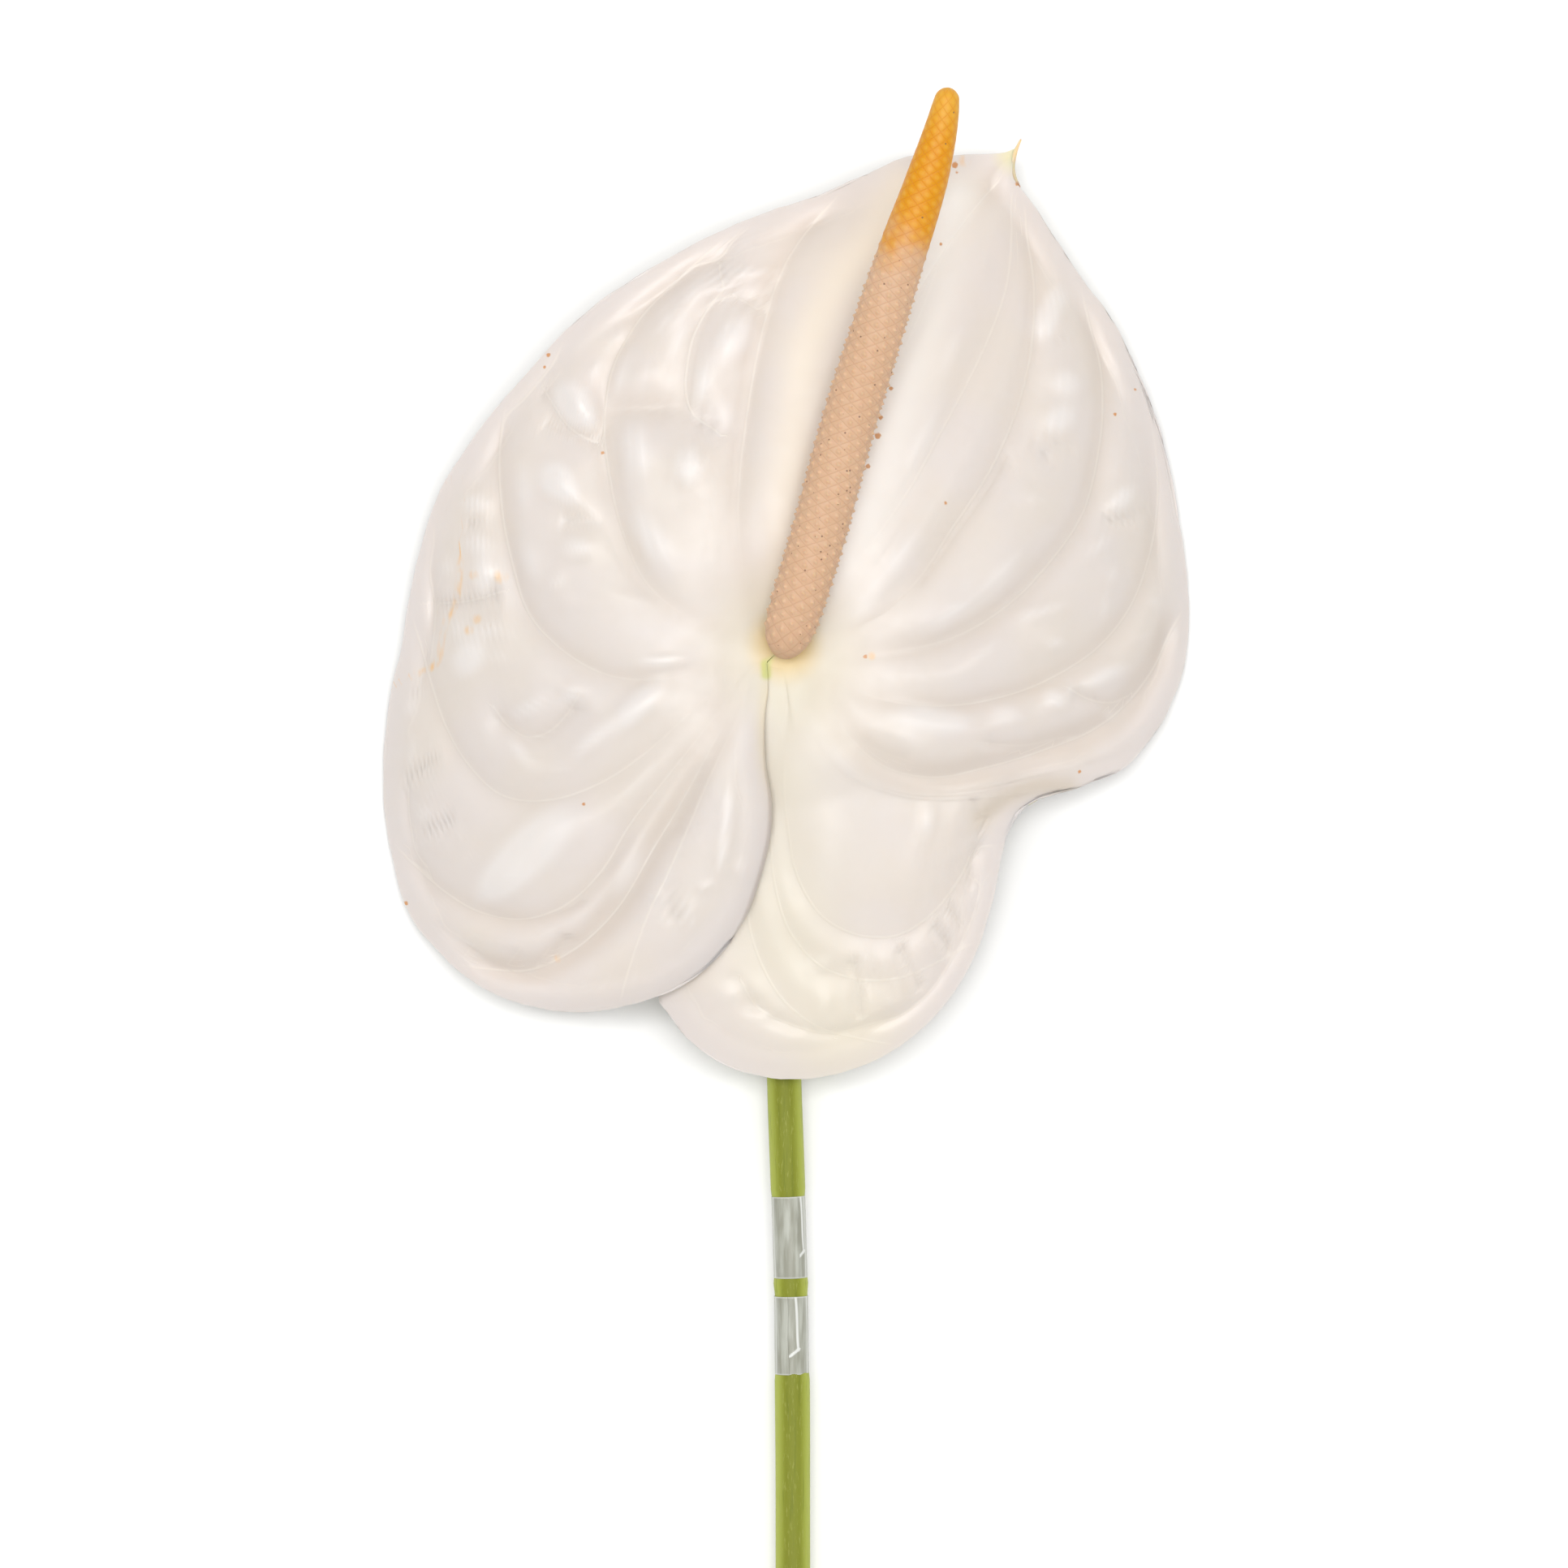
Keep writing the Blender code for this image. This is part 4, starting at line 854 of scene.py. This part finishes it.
def furrows_at(p, is_left):
    """How far the veins sink the surface at each point, and the nearest pale line beside it."""
    lines = []
    for number, (start, depth, points) in enumerate(VEINS):
        if depth and (number <= MIDRIB if is_left else number >= MIDRIB):
            angle = math.radians(start)
            ring = (NECK_RING * math.cos(angle), NECK_RING * math.sin(angle))
            lines.append((depth, VEIN_WIDTH, 1.0, (ring,) + points))
    lines += LEFT_BRANCHES if is_left else RIGHT_BRANCHES
    sunk = np.zeros(len(p))
    near, side, pale = np.full(len(p), 99.0), np.full(len(p), 99.0), np.zeros(len(p))
    for depth, width, strength, points in lines:
        away, passed = beside_line(p, points)
        fade = ramp(passed, -0.01, 0.12) * ramp(passed, 1.01, 0.9)
        sunk += (VEIN_DEPTH * depth * (0.3 + 0.7 * fade) * np.exp(-((np.abs(away) / width) ** 1.6))) ** 3
        if strength:
            closer = np.abs(away) < near
            near[closer] = np.abs(away[closer])
            side[closer] = away[closer]
            pale[closer] = (strength * ramp(np.hypot(*p.T), 10.0, 45.0))[closer]
    return sunk ** (1 / 3), near, side, pale


def petal_material():
    """Waxy white petal: pale lines in the veins, painted shade in the furrows and the pleat's pocket,
    painted highlights on the pillows, painted light beside the spadix and round its foot, tints at the
    neck, small stains.
    """
    petal = new_material(
        "spathe_petal", Roughness=0.3, IOR=1.45, Subsurface_Weight=0.55, Subsurface_Scale=0.0025,
    )
    shader = petal.node_tree.nodes["Principled BSDF"]
    shader.inputs["Subsurface Radius"].default_value = (1.0, 0.85, 0.75)
    colour = tint(petal, span(petal, grain(petal, 16.0), 0.35, 0.65), PETAL_WHITE, PETAL_CREAM)
    mottle = grain(petal, 3.4)
    colour = tint(petal, span(petal, mottle, 0.45, 0.75, 0.0, 0.06), colour, MOTTLE_AND_FURROW_SHADE)
    # Painted shade: the furrows are darkened in colour as well as sunk
    colour = tint(petal, span(petal, mark(petal, "furrow"), 0.6, 2.1, 0.0, 0.5), colour, MOTTLE_AND_FURROW_SHADE)
    # Painted highlight: the pillows' tops are whitened in colour
    colour = tint(petal, span(petal, mark(petal, "pillow"), 0.4, 2.4, 0.0, 0.65), colour, PILLOW_PAINTED_HIGHLIGHT)
    edge = mark(petal, "edge")
    colour = tint(petal, span(petal, edge, 6.5, 0.5, 0.0, 0.7), colour, RIM_PINK)
    near, side, line = mark(petal, "near"), mark(petal, "side"), mark(petal, "line")
    thin = span(petal, reckon(petal, "ABSOLUTE", side), 0.32, 0.05)
    thin = times(petal, thin, span(petal, near, 1.6, 0.9))
    thin = times(petal, thin, line)
    thin = times(petal, thin, span(petal, edge, 0.6, 3.0))
    wander = span(petal, grain(petal, 7.0), 0.2, 0.8, 4.0, 5.6)
    rim = span(petal, reckon(petal, "ABSOLUTE", reckon(petal, "SUBTRACT", edge, wander)), 0.3, 0.05)
    patchy = span(petal, grain(petal, 11.0), 0.45, 0.6, 0.0, 0.4)
    thin = reckon(petal, "MAXIMUM", thin, times(petal, rim, patchy))
    colour = tint(petal, times(petal, thin, 0.36), colour, VEIN_PALE)
    # Painted light beside the spadix: the peach band is a warm painted reflection of it on its left side,
    # the other a pale painted light filling its shadow on its right; the cream is the blade's own tint
    for name, share, over in (
        ("cream", 0.5, CREAM_YELLOW), ("peach", 0.65, PEACH_PAINTED_REFLECTION), ("glow", 0.75, PAINTED_FILL_LIGHT),
    ):
        colour = tint(petal, times(petal, mark(petal, name), share), colour, over)
    place = add(petal, "TexCoord").outputs["Object"]
    flat = add(petal, "VectorMath", {0: place, 1: (1.0, 1.0, 0.0)}, operation="MULTIPLY").outputs[0]

    def from_point(x, y):
        there = ((x + NECK_PLACE[0]) * MM, (y + NECK_PLACE[1]) * MM, 0.0)
        return add(petal, "VectorMath", {0: flat, 1: there}, operation="DISTANCE").outputs["Value"]

    # The neck's own cream and amber, laid on strongly enough that they also act as painted light, lifting
    # the shade round the spadix's foot
    neck = from_point(*SPADIX_FOOT)
    colour = tint(petal, span(petal, neck, 17 * MM, 5 * MM, 0.0, 0.6), colour, CREAM_YELLOW)
    colour = tint(petal, span(petal, neck, 8.0 * MM, 2.5 * MM, 0.0, 0.8), colour, AMBER)
    # Painted shade in the pleat's pocket under the lip; the hem's yellow is the blade's own colour
    for name, share, over in (("hem", 0.45, HEM_YELLOW), ("pocket", 0.7, POCKET_PAINTED_SHADE)):
        colour = tint(petal, times(petal, mark(petal, name), share), colour, over)
    colour = tint(petal, span(petal, mark(petal, "notch"), 0.05, 0.95, 0.0, 0.8), colour, NOTCH_GREEN)
    colour = tint(petal, span(petal, from_point(*CUSP_ROOT), 5.5 * MM, 1.0 * MM), colour, CUSP_YELLOW)
    streak = span(petal, reckon(petal, "ABSOLUTE", mark(petal, "streak")), 0.9, 0.1)
    broken = span(petal, grain(petal, 1.6, detail=3.0, stretch=(1, 0.3, 1)), 0.35, 0.65)
    streak = times(petal, times(petal, streak, broken), 0.75)
    colour = tint(petal, streak, colour, STREAK_ORANGE)
    for (x, y), radius in BLOTCHES:
        blotch = span(petal, from_point(x, y), radius * MM, 0.2 * radius * MM)
        share = times(petal, times(petal, blotch, broken), 0.6)
        colour = tint(petal, share, colour, STREAK_ORANGE)
    ragged = grain(petal, 0.5, detail=2.0)
    spots = None
    for (x, y), radius in SPECKS:
        away = reckon(petal, "MULTIPLY_ADD", ragged, -0.5 * MM, from_point(x, y))
        spot = span(petal, away, (radius - 0.1) * MM, (radius - 0.35) * MM)
        spots = spot if spots is None else reckon(petal, "MAXIMUM", spots, spot)
    colour = tint(petal, times(petal, spots, 0.9), colour, SPECK_BROWN)
    rough = span(petal, mottle, 0.3, 0.7, 0.33, 0.41)
    paint(petal, colour, [(mottle, 0.01), (thin, 0.02)], Roughness=rough)
    return petal


def back_material():
    """The underside: duller and greener, with the same veins raised."""
    back = new_material("spathe_back", Roughness=0.45, Subsurface_Weight=0.3, Subsurface_Scale=0.0025)
    colour = tint(back, span(back, grain(back, 14.0), 0.35, 0.65), BACK_CREAM, PETAL_CREAM)
    furrow = mark(back, "furrow")
    colour = tint(back, span(back, furrow, 0.9, 2.0, 0.0, 0.45), colour, BACK_VEIN_GREEN)
    colour = tint(back, span(back, grain(back, 2.2, detail=4.0), 0.45, 0.8, 0.0, 0.35), colour, MOTTLE_AND_FURROW_SHADE)
    paint(back, colour, [(grain(back, 0.3), 0.01), (furrow, 0.12)])
    return back


def build_spathe():
    """The blade's sheet from its plan and relief, thickened, with its back in a second material."""
    margin, veins, plan, places = blade_plan()
    columns, rows = plan.shape[:2]
    place = np.repeat(places, rows)
    height, marks = build_relief(plan.reshape(-1, 2), place, margin, veins)
    points = np.dstack([plan, height.reshape(columns, rows)])
    neck = np.tile((0.0, 0.0, NECK_HEIGHT), (columns, 1, 1))
    points = np.concatenate([neck, points], axis=1)
    grids = {}
    for name, values in marks.items():
        grid = values.reshape(columns, rows)
        grids[name] = np.concatenate([grid[:, :1], grid], axis=1)
    bm = bmesh.new()
    place_grid(bm, points, marks=grids)
    bmesh.ops.remove_doubles(bm, verts=bm.verts, dist=0.005 * MM)
    petal = make_piece("spathe_blade", bm, petal_material(), back_material())
    wall = petal.modifiers.new("thickness", "SOLIDIFY")
    wall.thickness = BLADE_THICKNESS * MM
    wall.offset = 0.0
    wall.material_offset = 1
    shaped = petal.evaluated_get(bpy.context.evaluated_depsgraph_get())
    petal.data = bpy.data.meshes.new_from_object(shaped)
    petal.modifiers.clear()
    for vertex in petal.data.vertices:
        vertex.co.z = max(vertex.co.z, 0.0)
    return petal


spathe = build_spathe()
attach(spathe, "root")
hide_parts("spathe")

# Cusp. The drawn-out tip of the blade, grown in one with it and dried to a slender yellowish
# spike. Below it the blade's margin is rolled over into a thin olive roll.
CUSP_LINE = (
    (41.6, 80.3, 10.2), (40.9, 81.4, 10.5), (40.35, 82.8, 10.7), (40.2, 84.2, 10.8), (40.35, 85.4, 10.9),
    (40.7, 86.5, 10.9), (41.2, 87.7, 10.9), (41.75, 88.8, 10.9),
)
CUSP_RADII = (
    (0.0, 0.1), (0.1, 0.28), (0.3, 0.42), (0.55, 0.5), (0.7, 0.42), (0.85, 0.26), (0.97, 0.2),
    (1.0, 0.0),
)
CUSP_OLIVE = (0.60, 0.53, 0.34)
CUSP_PEACH = (0.80, 0.62, 0.34)
CUSP_BROWN = (0.40, 0.20, 0.09)


def cusp_material():
    """Pale yellow skin, olive on the roll, brown at the very tip and at the roll's lower end."""
    skin = new_material("spathe_cusp", Roughness=0.4, Subsurface_Weight=0.4, Subsurface_Scale=0.0015)
    along = mark(skin, "along")
    colour = tint(skin, span(skin, along, 0.45, 0.75), CUSP_OLIVE, CUSP_PEACH)
    colour = tint(skin, span(skin, mark(skin, "inner"), 0.2, 0.9), colour, CUSP_YELLOW)
    colour = tint(skin, span(skin, along, 0.95, 1.0, 0.0, 0.6), colour, CUSP_BROWN)
    colour = tint(skin, span(skin, along, 0.17, 0.08, 0.0, 0.9), colour, CUSP_BROWN)
    paint(skin, colour, [(grain(skin, 0.4), 0.02)])
    return skin


def build_cusp():
    """A thin closed tube from the roll up to the point."""
    total = lengths(smooth_line(CUSP_LINE))[-1]
    share = np.linspace(0.0, 1.0, 49)
    radius = np.interp(share, *zip(*CUSP_RADII))
    radius[0] = 0.0
    angles = np.linspace(0.0, 2 * math.pi, 17)[:, None] + np.zeros(len(share))
    points = swept(CUSP_LINE, share * total, radius + 0 * angles, angles)
    bm = bmesh.new()
    place_grid(bm, points, marks={"along": share + 0 * angles, "inner": -np.cos(angles)})
    close_tube(bm)
    return make_piece("spathe_cusp", bm, cusp_material())


cusp = build_cusp()
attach(cusp, "root")

# Spadix. The fleshy finger that grows from the neck and carries the tiny flowers, peach with an
# orange tip third. Its florets fit together as diamonds, each with a pistil that stands up as a nub.
SPADIX_LINE = (
    (0.8, 0.9, 24.1), (0.9, 1.2, 26.6), (1.4, 3.0, 29.2), (2.7, 7.2, 31.0), (6.6, 20.0, 33.2),
    (11.5, 38.1, 35.9), (16.2, 53.3, 38.2), (20.6, 67.1, 40.3), (25.0, 80.1, 42.3),
    (27.4, 88.9, 43.6), (28.6, 95.0, 44.6),
)
SPADIX_RADII = (
    (0.0, 2.4), (0.02, 2.9), (0.045, 3.9), (0.075, 4.35), (0.12, 4.5), (0.25, 4.6), (0.5, 4.5),
    (0.65, 4.25), (0.76, 4.0), (0.85, 3.55), (0.9, 3.1), (0.93, 2.8), (0.965, 2.4), (1.0, 1.8),
)
SPADIX_SIDES = 168
SPADIX_RINGS = 565
FLORETS_AROUND = 8
FLORETS_ALONG = 48
FLORET_TURN = -7.0
FLORET_PILLOW = 0.035
PISTIL_HEIGHT = 0.52
PISTIL_RADIUS = 0.27
TIP_DOME = 0.017
PEACH = (0.605, 0.39, 0.245)
PEACH_LIGHT = (0.64, 0.425, 0.275)
PEACH_SEAM = (0.50, 0.285, 0.17)
TIP_ORANGE = (0.655, 0.27, 0.0)
TIP_YELLOW = (0.73, 0.42, 0.05)
TIP_SEAM = (0.60, 0.20, 0.0)
SPECK_DARK = (0.16, 0.08, 0.05)


def floret_material():
    """Peach florets, orange towards the tip, with fine seams, ringed pistils and brown specks."""
    skin = new_material(
        "spadix_florets", Roughness=0.46, Specular_IOR_Level=0.3, Subsurface_Weight=0.3,
        Subsurface_Scale=0.0025,
    )
    skin.node_tree.nodes["Principled BSDF"].inputs["Subsurface Radius"].default_value = (1.0, 0.5, 0.25)
    uv = add(skin, "SeparateXYZ", {0: add(skin, "UVMap", uv_map="UVMap").outputs[0]})
    first = reckon(skin, "FRACT", reckon(skin, "ADD", uv.outputs[0], uv.outputs[1]))
    second = reckon(skin, "FRACT", reckon(skin, "SUBTRACT", uv.outputs[0], uv.outputs[1]))
    first = reckon(skin, "SUBTRACT", first, 0.5)
    second = reckon(skin, "SUBTRACT", second, 0.5)
    outward = reckon(skin, "MAXIMUM", reckon(skin, "ABSOLUTE", first), reckon(skin, "ABSOLUTE", second))
    square = reckon(skin, "ADD", reckon(skin, "POWER", first, 2.0), reckon(skin, "POWER", second, 2.0))
    inward = reckon(skin, "SQRT", square)
    along = mark(skin, "along")
    wander = grain(skin, 5.0, detail=3.0)
    ripe = span(skin, reckon(skin, "MULTIPLY_ADD", wander, 0.16, along), 0.755, 0.88)
    base = tint(skin, span(skin, grain(skin, 9.0), 0.3, 0.7, 0.0, 0.4), PEACH, PEACH_LIGHT)
    dot = span(skin, inward, 0.2, 0.02)
    orange = tint(skin, span(skin, inward, 0.36, 0.12, 0.0, 0.34), TIP_ORANGE, TIP_YELLOW)
    orange = tint(skin, span(skin, along, 0.9, 0.99, 0.0, 0.5), orange, TIP_YELLOW)
    ring = times(skin, span(skin, inward, 0.2, 0.14), span(skin, inward, 0.07, 0.12))
    base = tint(skin, times(skin, ring, 0.4), base, PEACH_LIGHT)
    base = tint(skin, times(skin, dot, 0.15), base, PEACH_LIGHT)
    colour = tint(skin, ripe, base, orange)
    seam = span(skin, outward, 0.43, 0.49)
    deep = tint(skin, ripe, PEACH_SEAM, TIP_SEAM)
    colour = tint(skin, times(skin, seam, 0.45), colour, deep)
    cells = add(skin, "TexVoronoi", {
        "Vector": add(skin, "TexCoord").outputs["Object"], "Scale": 1 / (1.3 * MM),
    })
    chance = add(skin, "SeparateXYZ", {0: cells.outputs["Color"]}).outputs[0]
    from_low = reckon(skin, "ABSOLUTE", reckon(skin, "SUBTRACT", along, 0.3))
    patch = span(skin, from_low, 0.36, 0.05, 0.8, 0.35)
    dark = span(skin, cells.outputs["Distance"], 0.17, 0.09)
    speck = times(skin, dark, reckon(skin, "GREATER_THAN", chance, patch))
    colour = tint(skin, times(skin, speck, 0.8), colour, SPECK_DARK)
    fine = grain(skin, 0.25, detail=3.0)
    colour = tint(skin, span(skin, fine, 0.5, 0.8, 0.0, 0.2), colour, PEACH_SEAM)
    paint(skin, colour, [(times(skin, seam, -1.0), 0.025), (fine, 0.015)])
    return skin


def build_spadix():
    """The finger's rings, raised into florets and pistils, and closed over at its tip."""
    total = lengths(smooth_line(SPADIX_LINE))[-1]
    rounded = np.sin(np.linspace(0.0, math.pi / 2, 14)[1:])
    along_side = np.linspace(0.002, 1 - TIP_DOME, SPADIX_RINGS)
    share = np.concatenate([[0.0], along_side, 1 - TIP_DOME + TIP_DOME * rounded])
    radius = np.interp(share, *zip(*SPADIX_RADII))
    radius *= np.sqrt(1 - np.clip((share - 1) / TIP_DOME + 1, 0.0, 1.0) ** 2)
    radius[0] = 0.0
    angles = np.linspace(0.0, 2 * math.pi, SPADIX_SIDES + 1)[:, None] + np.zeros(len(share))
    around = angles / (2 * math.pi) * FLORETS_AROUND
    step = share * FLORETS_ALONG
    lean = FLORET_TURN * share
    first, second = (around + lean + step) % 1 - 0.5, (around + lean - step) % 1 - 0.5
    pillow = (1 - (2 * np.abs(first)) ** 4) * (1 - (2 * np.abs(second)) ** 4)
    wide = 2 * math.pi * np.maximum(radius, 0.5) / FLORETS_AROUND
    tall = total / FLORETS_ALONG
    off = np.hypot((first + second) / 2 * wide, (first - second) / 2 * tall)
    open_flowers = ramp(share, 0.035, 0.07) * (1 - ramp(share, 0.62, 0.78))
    pistil = PISTIL_HEIGHT * np.exp(-((off / PISTIL_RADIUS) ** 1.5)) * open_flowers
    pistil -= 0.02 * np.exp(-(((off - 0.55) / 0.18) ** 2)) * open_flowers
    relief = FLORET_PILLOW * pillow * ramp(share, 0.02, 0.06) * (1 - ramp(share, 0.9, 0.99))
    points = swept(SPADIX_LINE, share * total, radius + relief + pistil * (radius > 0), angles)
    bm = bmesh.new()
    uv = np.dstack([around + lean, step + 0 * around])
    place_grid(bm, points, uv=uv, marks={"along": share + 0 * around})
    close_tube(bm)
    return make_piece("spadix_florets", bm, floret_material())


spadix = build_spadix()
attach(spadix, "root")
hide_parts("spadix")

# Table and light. A plain white table top, large enough to fill the view from any side, under a
# soft box overhead, a narrow one at each side and an even pale sky.
TABLE_SIZE = 8.0
TABLE_WHITE = (0.96, 0.96, 0.955)
SKY_STRENGTH = 0.6
LAMPS = (
    ("front box", (0.0, 0.25, 1.9), (0.8, 0.8), 16.8),
    ("left box", (-0.6, 0.3, 1.35), (0.25, 0.6), 3.2),
    ("right box", (0.6, 0.2, 1.35), (0.25, 0.6), 3.0),
)
LAMP_AIM = (0.0, 0.13, 0.02)

bm = bmesh.new()
bmesh.ops.create_grid(bm, x_segments=1, y_segments=1, size=TABLE_SIZE / 2)
bmesh.ops.translate(bm, verts=bm.verts, vec=(0.0, 0.1, -0.0002))
table_top = new_material("table_top", Roughness=0.6, Base_Color=(*TABLE_WHITE, 1.0))
table = make_piece("table", bm, table_top)

sky = bpy.data.worlds.new("studio")
sky.use_nodes = True
sky.node_tree.nodes["Background"].inputs["Color"].default_value = (1.0, 1.0, 1.0, 1.0)
sky.node_tree.nodes["Background"].inputs["Strength"].default_value = SKY_STRENGTH
bpy.context.scene.world = sky

for name, place, size, power in LAMPS:
    lamp = bpy.data.lights.new(name, "AREA")
    lamp.shape = "RECTANGLE"
    lamp.size, lamp.size_y = size
    lamp.energy = power
    holder = bpy.data.objects.new(name, lamp)
    holder.location = place
    holder.rotation_euler = (Vector(LAMP_AIM) - Vector(place)).to_track_quat("-Z", "Y").to_euler()
    bpy.context.scene.collection.objects.link(holder)

# Camera. It looks straight down on the flower from as far off as in the photograph, so that
# the picture's edge cuts the stem at the same place.
CAMERA_PLACE = (-0.00034, 0.1288, 1.523)
CAMERA_LENS = 200.0

lens = bpy.data.cameras.new("camera")
lens.lens = CAMERA_LENS
lens.sensor_width = 36.0
camera = bpy.data.objects.new("camera", lens)
camera.location = CAMERA_PLACE
bpy.context.scene.collection.objects.link(camera)
bpy.context.scene.camera = camera
bpy.context.scene.view_settings.view_transform = "Standard"
